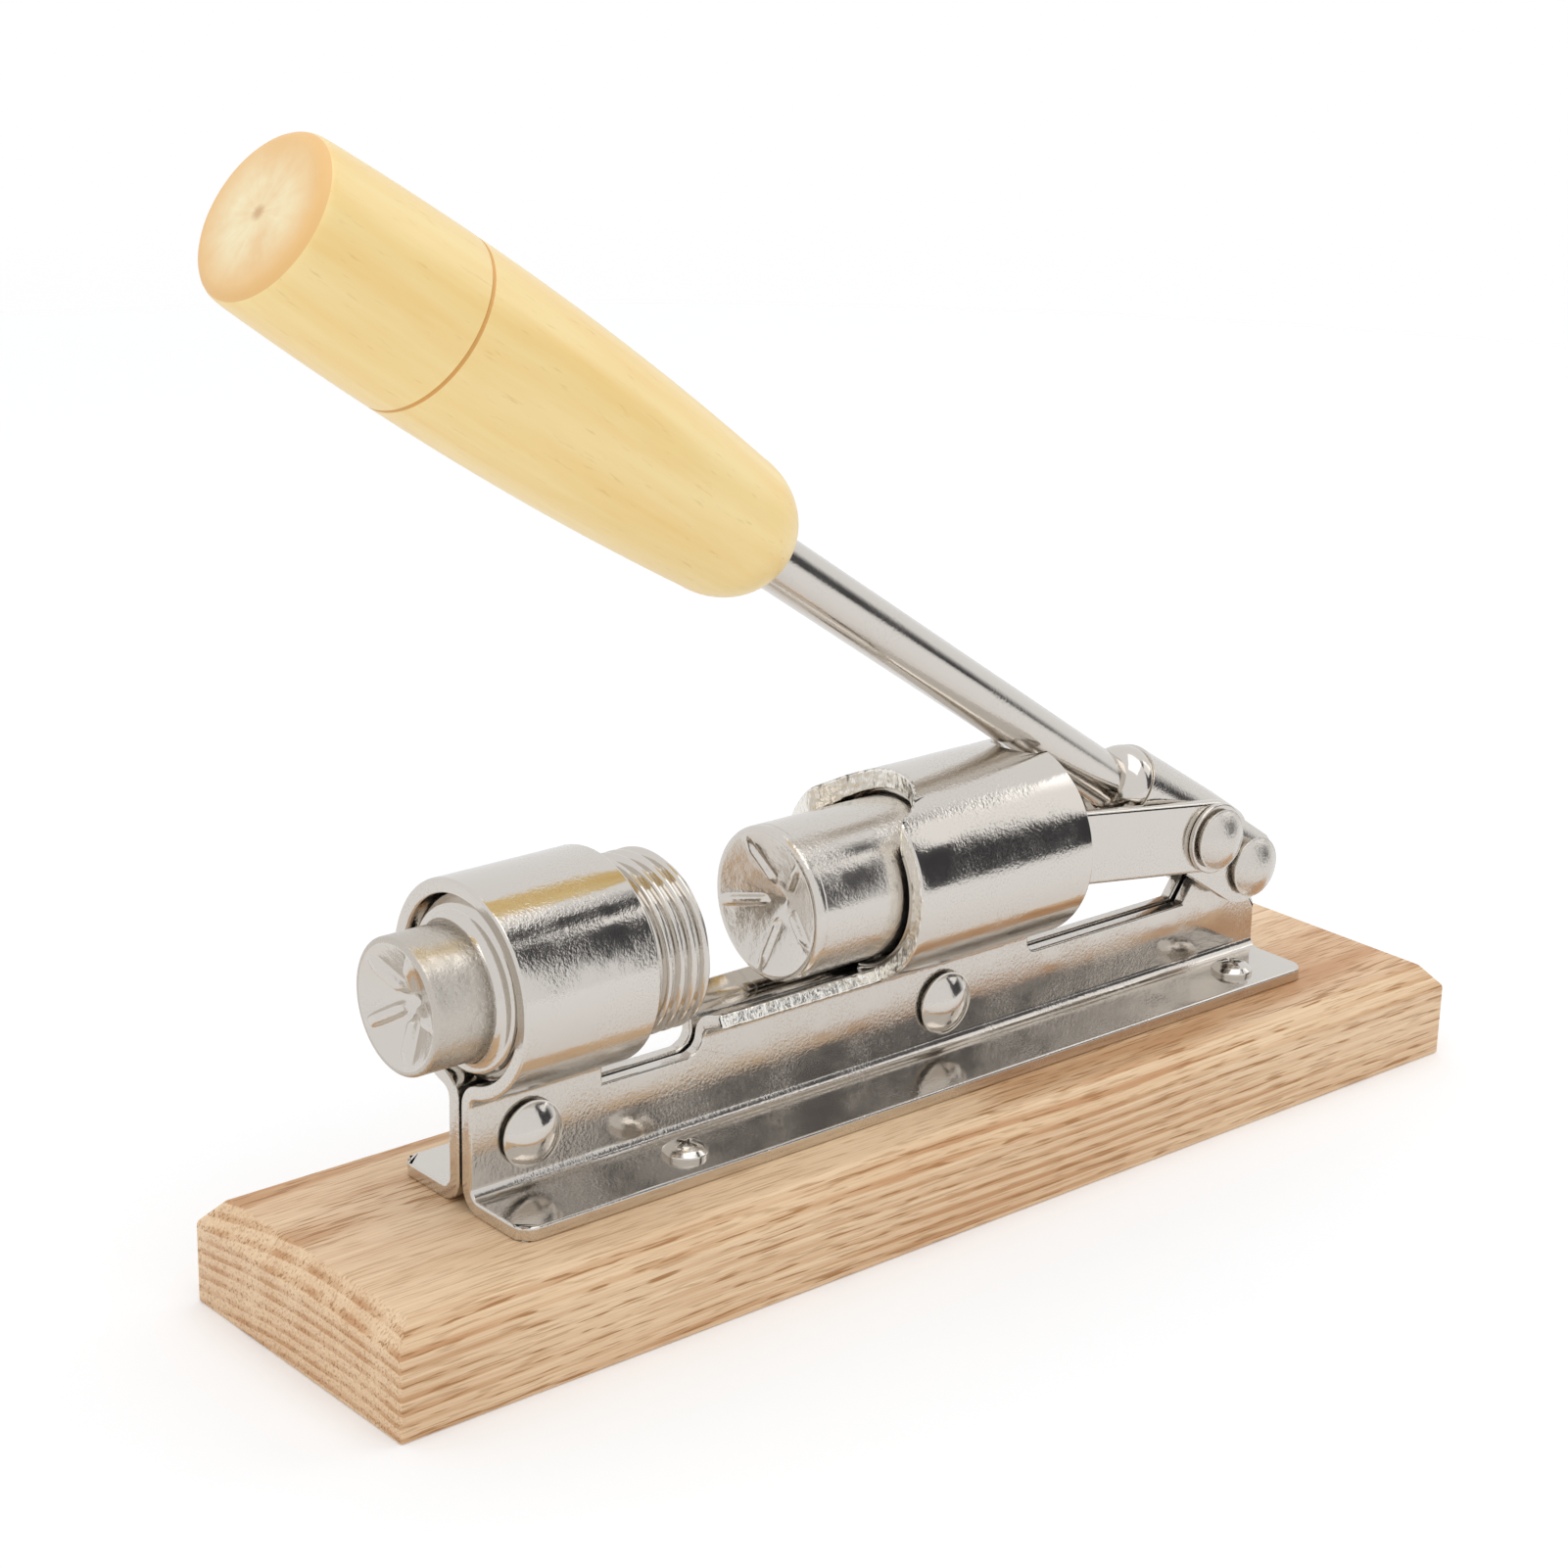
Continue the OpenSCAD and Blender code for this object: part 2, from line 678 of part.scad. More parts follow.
// Washer between a link and the link rivet's head
module link_washer(side) {
    near = link_out + side_gap / 3;
    color(plate_colour) difference() {
        disc_y(washer_r, near, near + washer_thick, side, link_rivet_x, link_rivet_z);
        rod_y(rivet_r + hole_gap, -far, far, link_rivet_x, link_rivet_z);
    }
}
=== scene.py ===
import math

import bmesh
import bpy
from mathutils import Matrix, Vector


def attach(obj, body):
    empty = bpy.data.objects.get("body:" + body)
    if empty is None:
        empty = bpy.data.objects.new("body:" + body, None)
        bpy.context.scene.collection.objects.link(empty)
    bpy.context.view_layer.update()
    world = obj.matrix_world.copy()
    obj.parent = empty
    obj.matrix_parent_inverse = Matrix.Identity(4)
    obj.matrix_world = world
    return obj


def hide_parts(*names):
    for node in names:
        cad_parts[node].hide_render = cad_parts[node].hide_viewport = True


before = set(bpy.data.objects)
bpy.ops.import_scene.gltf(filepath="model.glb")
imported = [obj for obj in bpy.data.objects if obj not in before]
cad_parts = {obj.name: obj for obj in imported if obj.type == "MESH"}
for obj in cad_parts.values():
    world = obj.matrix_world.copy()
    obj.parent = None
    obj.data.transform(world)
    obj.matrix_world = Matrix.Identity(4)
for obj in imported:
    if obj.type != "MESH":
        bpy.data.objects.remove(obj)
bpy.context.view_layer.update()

bl_info = {
    "name": "Desktop Nutcracker",
    "version": (1, 0, 0),
    "blender": (4, 5, 0),
    "location": "3D View > Sidebar > Nutcracker",
    "description": "Plated, cast and wooden pieces of a desktop nutcracker",
    "category": "Object",
}

# Lengths in this file are millimetres until a piece is placed
MM = 0.001

# Board
BOARD = (250, 60, 19)
BEVEL_WIDTH = 4
BEVEL_HEIGHT = 4.6

# Sheet frame
SHEET = 2.6
WEB_GAP = 0.9
FRAME_FRONT = -93
FRAME_REAR = 97
FOOT_HALF = 17.6
BEND_R = 2
FOOT_CORNER_R = 3.5
BARREL_Z = 57.5
BARREL_R = 18.5
FRONT_BARREL_END = -66
REAR_BARREL_FRONT = -8.7
REAR_BARREL_END = 33.5
WINDOW_Z = 35
FRONT_WINDOW_END = -44.4
CRADLE_FRONT = -55
CRADLE_ANGLE = 27
BARREL_STOP = 45
EAR_START = 55
EAR_TOP = 52
EAR_FOOT_X = 75.8
EAR_R = 6.8
REAR_DROP = 5.5
WEB_Y = WEB_GAP / 2 + SHEET
FOOT_TOP = BOARD[2] + SHEET

# Rear barrel's loading mouth, its lip and the rod's rest notch
MOUTH_X = REAR_BARREL_FRONT - 1.7
MOUTH_R = 11.6
MOUTH_EASE = 2
MOUTH_REACH = 3.67
LIP_DEPTH = 1.1
LIP_LENGTH = 10.3
LIP_SLOT = 2.4
NOTCH_X = REAR_BARREL_END - 1.4
NOTCH_R = 5.4

# Lever
PIVOT = Vector((89.4, 0, 41.5))
CRANK = 18
CRANK_SLOPE = math.radians(33)
SLOPE = math.radians(33.5)
LINK_LENGTH = 44.2
LINK_R = 7.1
RIVET_HOLE_R = 3.08
PIN_HOLE_R = 4.8
ROD_R = 5
ROD_DROP = 0.6
YOKE_R = 8
YOKE_TOP = 9
YOKE_FRONT_TOP = 8.5
YOKE_CORNER = 6.8
YOKE_SHEET = 2.2
YOKE_FRONT = -36.9
YOKE_SQUARE = -14
YOKE_REAR = 8
YOKE_END_X = -2.2
YOKE_SLOT_X = -5
CHEEK_DEPTH = 8.3
COLLAR_FRONT = -41.6
COLLAR_R = 7.7
COLLAR_RISE = 0.3
NECK_S = -141.8
HANDLE_END_S = -258.1
HANDLE_R = 15.1
SWELL_S = HANDLE_END_S + 42
SWELL_R = 700
GROOVE_S = HANDLE_END_S + 32.7
GROOVE_HALF = 0.4
GROOVE_DEPTH = 0.32
NOSE_LENGTH = 14
LINK_IN = 8.3
LINK_OUT = 10.8
WASHER_IN = 10.9
WASHER_OUT = 12

# Anvil and ram
CUP_X = -105
CUP_R = 11.5
SMALL_CUP = 10.5
LARGE_CUP = 12.7
CUP_DEPTH = 5
RIBS = 5
RIB_BLEND = 0.45
SHOULDER_X = -92.4
ANVIL_FACE_X = -52.7
THREAD_ROOT = 14.35
THREAD_CREST = 15.7
RAM_FACE_X = -28.5
RAM_R = 13.9
RAM_GROOVE = 0.2
RAM_HEAD_END = RAM_FACE_X + 30.4
GUIDE_END = RAM_HEAD_END + 12
SLIDE_R = 15.72
TONGUE_WIDTH = 16
TONGUE_HEIGHT = 13.2
RAM_PIN = Vector((30.54, 0, 59.3))
PIN_HALF = 11.3
PIN_R = 2.5

# Fasteners
HOLE_R = 3.05
RIVET_Z = 30.4
SCREW_Y = 10.4

LINK_RIVET = PIVOT + CRANK * Vector((-math.cos(CRANK_SLOPE), 0, math.sin(CRANK_SLOPE)))
LINK_TILT = math.asin((BARREL_Z - LINK_RIVET.z) / LINK_LENGTH)
ON_LEVER = Matrix.Translation(PIVOT) @ Matrix.Rotation(SLOPE, 4, "Y")
ON_BARREL = Matrix.Translation((0, 0, BARREL_Z))
ACROSS = Matrix.Rotation(math.pi / 2, 4, "Z")

# Edges that turn more than this stay sharp; those of turned cups may turn more
SHARP = 32
CUP_SHARP = 50

# Cutters reach past the sheet: to its sides, above it, and far
SIDE = 60
ABOVE = 95
FAR = 300


def linear(hex_text):
    """sRGB hex text as a linear colour."""
    parts = [int(hex_text[i:i + 2], 16) / 255 for i in (1, 3, 5)]
    return [c / 12.92 if c <= 0.04045 else ((c + 0.055) / 1.055) ** 2.4 for c in parts] + [1]


def tint(key):
    """Linear colour of a finish in the sidebar."""
    return linear(getattr(bpy.context.scene.nutcracker_colours, key))


def chosen(key):
    """Size in the sidebar, in millimetres."""
    return getattr(bpy.context.scene.nutcracker_sizes, key) / MM


def per_mm(*sizes):
    """Pattern scale on Object coordinates for a real size, or for one along each axis."""
    scales = [1 / (size * MM) for size in sizes]
    return scales if len(scales) > 1 else scales[0]


def add_node(tree, kind, sockets=None, stops=None, **settings):
    """Adds a shader node with its settings. A value that is a socket is linked, and a node
    is linked by its first output in use. Stops are places and greys on a ramp."""
    node = tree.nodes.new("ShaderNode" + kind)
    for key, value in settings.items():
        setattr(node, key, value)
    for key, value in (sockets or {}).items():
        if isinstance(value, bpy.types.Node):
            value = next(output for output in value.outputs if output.enabled)
        if isinstance(value, bpy.types.NodeSocket):
            tree.links.new(value, node.inputs[key])
        else:
            node.inputs[key].default_value = value
    if stops:
        ramp = node.color_ramp
        while len(ramp.elements) < len(stops):
            ramp.elements.new(1)
        for element, (place, value) in zip(ramp.elements, stops):
            element.position = place
            element.color = (value, value, value, 1)
    return node


def plate_shader(tree, place, rough, peel, grain, scratch, haze, pitting, foot_haze):
    """Nickel plate: a bright warm mirror over the orange peel of the sheet, with patches of
    fine grain and pale pits that break up dark reflections, hair scratches from handling and
    a thin haze, stronger low down on the frame where the plating is dull."""
    coarse, fine, wear, pits = [add_node(tree, "TexNoise", {
        "Vector": place, "Scale": per_mm(size), "Detail": detail, "Roughness": broken})
        for size, detail, broken in ((6, 2, 0.5), (0.6, 2, 0.6), (13, 3, 0.55), (0.4, 1, 0.5))]
    along = add_node(tree, "Mapping", {
        "Vector": place, "Scale": per_mm(9, 0.25, 0.25), "Rotation": (0, 0.2, 0.1)})
    lines = add_node(tree, "TexNoise", {
        "Vector": along, "Scale": 1.0, "Roughness": 0.6})
    patches, worn = [add_node(tree, "MapRange", {
        "Value": wear, "From Min": low, "From Max": high, "To Min": least})
        for low, high, least in ((0.4, 0.62, 0.15), (0.42, 0.66, 0))]
    normal = {}
    for height, strength, depth in ((coarse, 1, peel), (fine, patches, grain),
                                    (lines, 1, scratch)):
        normal = {"Normal": add_node(tree, "Bump", {
            "Height": height, "Strength": strength, "Distance": depth * MM, **normal})}
    uneven = add_node(tree, "MapRange", {
        "Value": wear, "From Min": 0.3, "From Max": 0.75, "To Min": rough,
        "To Max": rough * 1.9})
    bright, dull = [add_node(tree, "BsdfPrincipled", {
        "Base Color": tint("nickel"), "Metallic": 1.0, "Roughness": value, **normal})
        for value in (uneven, 0.48)]
    height = add_node(tree, "SeparateXYZ", {"Vector": place}).outputs["Z"]
    share = add_node(tree, "MapRange", {
        "Value": height, "From Min": 0.034, "From Max": 0.052, "To Min": foot_haze,
        "To Max": haze})
    spread = add_node(tree, "Math", {0: wear, 1: 0.5}, operation="ADD")
    pitted = add_node(tree, "MapRange", {
        "Value": pits, "From Min": 0.5, "From Max": 0.66, "To Max": pitting})
    specks = add_node(tree, "Math", {0: pitted, 1: worn}, operation="MULTIPLY")
    veil = add_node(tree, "Math", {0: share, 1: spread, 2: specks},
                    operation="MULTIPLY_ADD")
    return add_node(tree, "MixShader", {0: veil, 1: bright, 2: dull})


def shear_shader(tree, place):
    """Plated cut edge of the sheet: rough where the punch tore through. Its colour is painted
    light: a pale colour, lighter than the nickel, as painted highlight, and dark creases across
    the thickness as painted shade."""
    across = add_node(tree, "Mapping", {"Vector": place, "Scale": per_mm(0.9, 0.9, 4)})
    lines = add_node(tree, "TexNoise", {
        "Vector": across, "Scale": 1.0, "Detail": 3.0, "Roughness": 0.6})
    facets = add_node(tree, "TexNoise", {
        "Vector": place, "Scale": per_mm(1.8), "Detail": 1.0})
    low = add_node(tree, "Bump", {"Height": facets, "Distance": 0.6 * MM})
    bump = add_node(tree, "Bump", {"Height": lines, "Distance": 0.3 * MM, "Normal": low})
    # painted shade in the creases; the rest takes a pale colour as painted highlight
    crease_shade_mask = add_node(tree, "MapRange", {
        "Value": lines, "From Min": 0.62, "From Max": 0.7, "To Max": 0.7})
    tone = add_node(tree, "Mix", {
        0: crease_shade_mask, 6: linear("#F8F4EC"), 7: linear("#4A4038")}, data_type="RGBA")
    return add_node(tree, "BsdfPrincipled", {
        "Base Color": tone, "Metallic": 1.0, "Roughness": 0.22, "Normal": bump})


def cast_shader(tree, place, colour, rough, grain):
    """Plated casting: satin, with the fine grain of the mould."""
    grains = add_node(tree, "TexNoise", {
        "Vector": place, "Scale": per_mm(0.6), "Detail": 3.0, "Roughness": 0.65})
    swelling = add_node(tree, "TexNoise", {"Vector": place, "Scale": per_mm(4)})
    low = add_node(tree, "Bump", {"Height": swelling, "Distance": 0.22 * MM})
    top = add_node(tree, "Bump", {"Height": grains, "Distance": grain * MM, "Normal": low})
    uneven = add_node(tree, "MapRange", {
        "Value": grains, "From Min": 0.3, "From Max": 0.7, "To Min": rough * 0.75,
        "To Max": rough * 1.25})
    return add_node(tree, "BsdfPrincipled", {
        "Base Color": tint(colour), "Metallic": 1.0, "Roughness": uneven, "Normal": top})


def oak_shader(tree, place):
    """Oiled oak, plain sawn: broad growth bands, fine long fibres and short dark pores."""
    # growth rings are shells round a pith far below and beside the board
    warp = add_node(tree, "Mapping", {"Vector": place, "Scale": per_mm(150, 55, 38)})
    sway = add_node(tree, "TexNoise", {"Vector": warp, "Scale": 1.0})
    push = add_node(tree, "VectorMath", {
        0: sway.outputs["Color"], 1: (0.5, 0.5, 0.5)}, operation="SUBTRACT")
    scaled = add_node(tree, "VectorMath", {0: push, "Scale": 5 * MM},
                      operation="SCALE")
    moved = add_node(tree, "VectorMath", {0: place, 1: scaled}, operation="ADD")
    pith = add_node(tree, "Mapping", {
        "Vector": moved, "Location": (0, 14 * MM, 320 * MM), "Scale": (0, 1, 1)})
    radius = add_node(tree, "VectorMath", {0: pith}, operation="LENGTH")
    rings = add_node(tree, "Math", {0: radius, 1: per_mm(2.2)},
                     operation="MULTIPLY")
    ring = add_node(tree, "Math", {0: rings}, operation="FRACT")
    early = add_node(tree, "ValToRGB", {"Fac": ring}, stops=[
        (0.0, 1.0), (0.25, 0.85), (0.45, 0.15), (0.9, 0.0), (1.0, 1.0)])
    patterns = []
    for source, sizes, detail, broken in ((place, (26, 0.36, 0.36), 4, 0.65),
                                          (moved, (8, 0.45, 0.45), 1, 0.5),
                                          (place, (60, 9, 9), 2, 0.5)):
        along = add_node(tree, "Mapping", {
            "Vector": source, "Scale": per_mm(*sizes)})
        patterns.append(add_node(tree, "TexNoise", {
            "Vector": along, "Scale": 1.0, "Detail": detail, "Roughness": broken}))
    fibre, pores, blotch = patterns
    spots = add_node(tree, "MapRange", {
        "Value": pores, "From Min": 0.55, "From Max": 0.66})
    often = add_node(tree, "MapRange", {"Value": early, "To Min": 0.4})
    spot = add_node(tree, "Math", {0: spots, 1: often}, operation="MULTIPLY")
    vary = add_node(tree, "MapRange", {
        "Value": blotch, "From Min": 0.35, "From Max": 0.65, "To Min": 0.12, "To Max": 0.55})
    band = add_node(tree, "Math", {0: early, 1: vary}, operation="MULTIPLY")
    mixed = add_node(tree, "Math", {0: fibre, 1: 0.95, 2: band},
                     operation="MULTIPLY_ADD")
    tone = add_node(tree, "Math", {0: blotch, 1: 0.35, 2: mixed},
                    operation="MULTIPLY_ADD")
    share = add_node(tree, "MapRange", {
        "Value": tone, "From Min": 0.5, "From Max": 1.15})
    base = add_node(tree, "Mix", {
        0: share, 6: tint("oak_light"), 7: tint("oak_dark")}, data_type="RGBA")
    colour = add_node(tree, "Mix", {0: spot, 6: base, 7: tint("oak_pore")},
                      data_type="RGBA")
    height = add_node(tree, "Math", {0: fibre, 1: spot}, operation="SUBTRACT")
    bump = add_node(tree, "Bump", {
        "Height": height, "Strength": 0.6, "Distance": 0.12 * MM})
    return add_node(tree, "BsdfPrincipled", {
        "Base Color": colour, "Roughness": 0.48, "IOR": 1.5, "Normal": bump})


def handle_axis_height():
    """Height of the handle's axis in the lever's turned coordinates, in metres."""
    turned = Matrix.Rotation(-SLOPE, 4, "Y") @ PIVOT
    return turned.z * MM


def end_grain_colour(tree, place, axis):
    """Sawn end of the handle: rays and clouds round a dark pith, browner at the rim."""
    split = add_node(tree, "SeparateXYZ", {"Vector": axis})
    up = add_node(tree, "Math", {0: split.outputs["Z"], 1: handle_axis_height()},
                  operation="SUBTRACT")
    turn = add_node(tree, "Math", {0: up, 1: split.outputs["Y"]},
                    operation="ARCTAN2")
    out = add_node(tree, "CombineXYZ", {"X": split.outputs["Y"], "Y": up})
    reach = add_node(tree, "VectorMath", {0: out}, operation="LENGTH")
    polar = add_node(tree, "CombineXYZ", {"X": turn, "Y": reach})
    ray_place = add_node(tree, "Mapping", {
        "Vector": polar, "Scale": (4, per_mm(14), 1)})
    rays = add_node(tree, "TexNoise", {
        "Vector": ray_place, "Scale": 1.0, "Detail": 3.0, "Roughness": 0.6})
    cloud = add_node(tree, "TexNoise", {
        "Vector": place, "Scale": per_mm(9), "Detail": 3.0, "Roughness": 0.6})
    blend = add_node(tree, "Math", {0: rays, 1: 0.35, 2: cloud},
                     operation="MULTIPLY_ADD")
    warm, rim, pith = [add_node(tree, "MapRange", {
        "Value": value, "From Min": low, "From Max": high})
        for value, low, high in ((blend, 0.55, 0.85), (reach, 6 * MM, 13 * MM),
                                 (reach, 1.6 * MM, 0.5 * MM))]
    spot = add_node(tree, "Math", {0: pith, 1: rays}, operation="MULTIPLY")
    colour = linear("#FAEABF")
    for share, other in ((warm, "#F3D19C"), (rim, "#F2C380"), (spot, "#B9752E")):
        colour = add_node(tree, "Mix", {0: share, 6: colour, 7: linear(other)},
                          data_type="RGBA")
    return colour


def handle_shader(tree, place, light, dark, fleck, end_grain=False):
    """Varnished pale hardwood, turned: faint long grain and flecks under a clear coat."""
    # turns the pattern so that X runs along the lever
    axis = add_node(tree, "Mapping", {"Vector": place, "Rotation": (0, -SLOPE, 0)})
    patterns = []
    for sizes, detail, broken in (((55, 5, 5), 4, 0.55), ((5, 0.7, 0.7), 2, 0.5)):
        along = add_node(tree, "Mapping", {"Vector": axis, "Scale": per_mm(*sizes)})
        patterns.append(add_node(tree, "TexNoise", {
            "Vector": along, "Scale": 1.0, "Detail": detail, "Roughness": broken}))
    grain, flecks = patterns
    if end_grain:
        colour = end_grain_colour(tree, place, axis)
    else:
        share = add_node(tree, "MapRange", {
            "Value": grain, "From Min": 0.32, "From Max": 0.7})
        base = add_node(tree, "Mix", {0: share, 6: tint(light), 7: tint(dark)},
                        data_type="RGBA")
        dots = add_node(tree, "MapRange", {
            "Value": flecks, "From Min": 0.64, "From Max": 0.8, "To Max": 0.35})
        colour = add_node(tree, "Mix", {0: dots, 6: base, 7: tint(fleck)},
                          data_type="RGBA")
    bump = add_node(tree, "Bump", {
        "Height": grain, "Strength": 0.5, "Distance": 0.25 * MM})
    return add_node(tree, "BsdfPrincipled", {
        "Base Color": colour, "Roughness": 0.42, "IOR": 1.5, "Normal": bump,
        "Coat Weight": 0.0 if end_grain else 0.35, "Coat Roughness": 0.22, "Coat IOR": 1.5})


def paper_shader(tree, place):
    """Matt pale paper, which fades out into the white background away from the object."""
    reach = add_node(tree, "VectorMath", {0: place}, operation="LENGTH")
    fade = add_node(tree, "MapRange", {
        "Value": reach, "From Min": 0.35, "From Max": 1.2}, interpolation_type="SMOOTHSTEP")
    paper = add_node(tree, "BsdfDiffuse", {"Color": linear("#F4F4F4")})
    seen = add_node(tree, "LightPath").outputs["Is Camera Ray"]
    lift = add_node(tree, "Math", {0: seen, 1: 0.12}, operation="MULTIPLY")
    glow = add_node(tree, "Emission", {"Strength": lift})
    lit = add_node(tree, "AddShader", {0: paper, 1: glow})
    clear = add_node(tree, "BsdfTransparent")
    return add_node(tree, "MixShader", {0: fade, 1: lit, 2: clear})


# Each finish, after what it gives the eye: its shader and settings. For plate they are the
# roughness, the depths in millimetres of the peel, the grain and the scratches, the haze, the
# pitting, and the haze at the foot. For castings they are the colour, the roughness and the
# depth of the grain
FINISHES = {
    # pale brown wood with open dark pores
    "oiled oak": (oak_shader,),
    # straw yellow under a soft shine
    "handle wood": (handle_shader, "handle_light", "handle_dark", "handle_fleck"),
    # clouded sawn face with a dark middle
    "handle end grain": (handle_shader, "handle_light", "handle_dark", "handle_fleck", True),
    # thin darker brown line in the groove's bottom
    "darker groove line": (handle_shader, "groove", "handle_fleck", "groove"),
    # wavy mirror over a dull foot
    "nickel plated sheet": (plate_shader, 0.07, 0.04, 0.05, 0.003, 0.02, 0.28, 0.12),
    # straight bright streak
    "nickel plated bar": (plate_shader, 0.08, 0.03, 0.03, 0.004, 0.08, 0.1, 0.08),
    # small clear highlights
    "nickel plated steel": (plate_shader, 0.08, 0.03, 0.03, 0.003, 0.05, 0.1, 0.05),
    # broad dulled highlights, as hammered
    "nickel plated rivet": (plate_shader, 0.16, 0.08, 0.12, 0.004, 0.25, 0.25, 0.25),
    # dark band with pale specks
    "turned ram": (plate_shader, 0.11, 0.05, 0.1, 0.006, 0.06, 0.45, 0.06),
    # shining ribs
    "polished casting": (cast_shader, "nickel", 0.12, 0.05),
    # satin grey rim
    "nickel plated casting": (cast_shader, "casting", 0.3, 0.07),
    # white torn band: painted highlight, with painted shade in its creases
    "sheared sheet edge": (shear_shader,),
    # floor without a horizon
    "studio paper": (paper_shader,),
}


def material(key):
    """Material of a finish, made the first time it is asked for."""
    if key not in bpy.data.materials:
        made = bpy.data.materials.new(key)
        made.use_nodes = True
        tree = made.node_tree
        tree.nodes.clear()
        place = add_node(tree, "TexCoord").outputs["Object"]
        shader, *settings = FINISHES[key]
        add_node(tree, "OutputMaterial", {
            "Surface": shader(tree, place, *settings)})
    return bpy.data.materials[key]


def rounded(points, steps=5):
    """Outline in a plane; a point with a third number is rounded to that radius."""
    out = []
    for i, point in enumerate(points):
        here = Vector(point[:2])
        if len(point) < 3:
            out.append(here)
            continue
        before = (Vector(points[i - 1][:2]) - here).normalized()
        after = (Vector(points[(i + 1) % len(points)][:2]) - here).normalized()
        half = before.angle(after) / 2
        centre = here + (before + after).normalized() * point[2] / math.sin(half)
        first = here + before * point[2] / math.tan(half) - centre
        last = here + after * point[2] / math.tan(half) - centre
        swept = math.atan2(first.x * last.y - first.y * last.x, first.dot(last))
        for k in range(steps + 1):
            out.append(centre + Matrix.Rotation(swept * k / steps, 2) @ first)
    return out


def arc(centre, radius, start, end, steps):
    """Points of an arc from one angle to another, in degrees."""
    angles = [math.radians(start + (end - start) * k / steps) for k in range(steps + 1)]
    return [Vector(centre) + radius * Vector((math.cos(a), math.sin(a))) for a in angles]


def verts_in(geom):
    """Vertices in what an operator made."""
    return [item for item in geom if isinstance(item, bmesh.types.BMVert)]


def chain(bm, points):
    """New vertices in a row, and the edges between them."""
    verts = [bm.verts.new(point) for point in points]
    return verts, [bm.edges.new(pair) for pair in zip(verts, verts[1:])]


def carry_on(bm, edges):
    """Extrudes a row of edges in place; gives the new row's edges and vertices."""
    made = bmesh.ops.extrude_edge_only(bm, edges=edges)["geom"]
    fresh = verts_in(made)
    ends = set(fresh)
    return [item for item in made
            if isinstance(item, bmesh.types.BMEdge) and ends.issuperset(item.verts)], fresh


def lathe(outline, steps):
    """Turns an outline of distance along and radius round the X axis."""
    bm = bmesh.new()
    verts, edges = chain(bm, [(x, 0, r) for x, r in outline])
    bmesh.ops.spin(bm, geom=verts + edges, cent=(0, 0, 0), axis=(1, 0, 0), dvec=(0, 0, 0),
                   angle=math.tau, steps=steps, use_merge=True, use_duplicate=False)
    bmesh.ops.remove_doubles(bm, verts=bm.verts, dist=1e-4)
    return bm


def block(size, centre):
    """Box of a size in X, Y and Z round its centre."""
    bm = bmesh.new()
    bmesh.ops.create_cube(bm, size=1)
    bmesh.ops.scale(bm, vec=size, verts=bm.verts)
    bmesh.ops.translate(bm, vec=centre, verts=bm.verts)
    return bm


def prism(outline, start, end, axis):
    """Closed solid: an outline in X and Z drawn along Y, in Y and Z along X, or in X and Y
    along Z."""
    place = {"X": lambda a, b: (start, a, b), "Y": lambda a, b: (a, start, b),
             "Z": lambda a, b: (a, b, start)}[axis]
    bm = bmesh.new()
    face = bm.faces.new([bm.verts.new(place(a, b)) for a, b in outline])
    made = bmesh.ops.extrude_face_region(bm, geom=[face], use_keep_orig=True)["geom"]
    step = Vector([end - start if axis == name else 0 for name in "XYZ"])
    bmesh.ops.translate(bm, vec=step, verts=verts_in(made))
    bmesh.ops.recalc_face_normals(bm, faces=bm.faces)
    return bm


def turn(bm, angle, axis):
    """Turns a bmesh about the origin by an angle in degrees."""
    bmesh.ops.rotate(bm, matrix=Matrix.Rotation(math.radians(angle), 3, axis),
                     cent=(0, 0, 0), verts=bm.verts)


def join(bm, part):
    """Adds another bmesh to this one."""
    mesh = bpy.data.meshes.new("part")
    part.to_mesh(mesh)
    part.free()
    bm.from_mesh(mesh)
    bpy.data.meshes.remove(mesh)


def to_object(bm, name, materials=()):
    """Scene object that takes over a bmesh."""
    mesh = bpy.data.meshes.new(name)
    bm.to_mesh(mesh)
    bm.free()
    for key in materials:
        mesh.materials.append(material(key))
    made = bpy.data.objects.new(name, mesh)
    bpy.context.scene.collection.objects.link(made)
    return made


def baked(made, *helpers):
    """Bmesh of an object with its modifiers applied; the object and its helpers go."""
    graph = bpy.context.evaluated_depsgraph_get()
    bm = bmesh.new()
    bm.from_mesh(made.evaluated_get(graph).to_mesh())
    bmesh.ops.remove_doubles(bm, verts=bm.verts, dist=0.01)
    bmesh.ops.dissolve_degenerate(bm, edges=bm.edges, dist=0.01)
    for used in (made, *helpers):
        mesh = used.data
        bpy.data.objects.remove(used)
        bpy.data.meshes.remove(mesh)
    return bm


def thickened(bm, thickness, materials):
    """Bmesh of a bent sheet from its middle surface."""
    bmesh.ops.recalc_face_normals(bm, faces=bm.faces)
    made = to_object(bm, "middle", materials)
    wall = made.modifiers.new("thickness", "SOLIDIFY")
    wall.thickness = thickness
    wall.offset = 0
    wall.use_even_offset = True
    return baked(made)


def carved(bm, cutters, materials, cut_key=None, operation="DIFFERENCE"):
    """Bmesh less closed solids, or joined to them; cut faces take a material of their own
    where one is given."""
    bmesh.ops.recalc_face_normals(bm, faces=bm.faces)
    made = to_object(bm, "stock", materials)
    helpers = []
    for i, cutter in enumerate(cutters):
        helper = to_object(cutter, f"cutter_{i}", [cut_key] if cut_key else materials[:1])
        change = made.modifiers.new(f"cut_{i}", "BOOLEAN")
        change.operation = operation
        change.solver = "EXACT"
        change.object = helper
        if cut_key:
            change.material_mode = "TRANSFER"
        helpers.append(helper)
    return baked(made, *helpers)


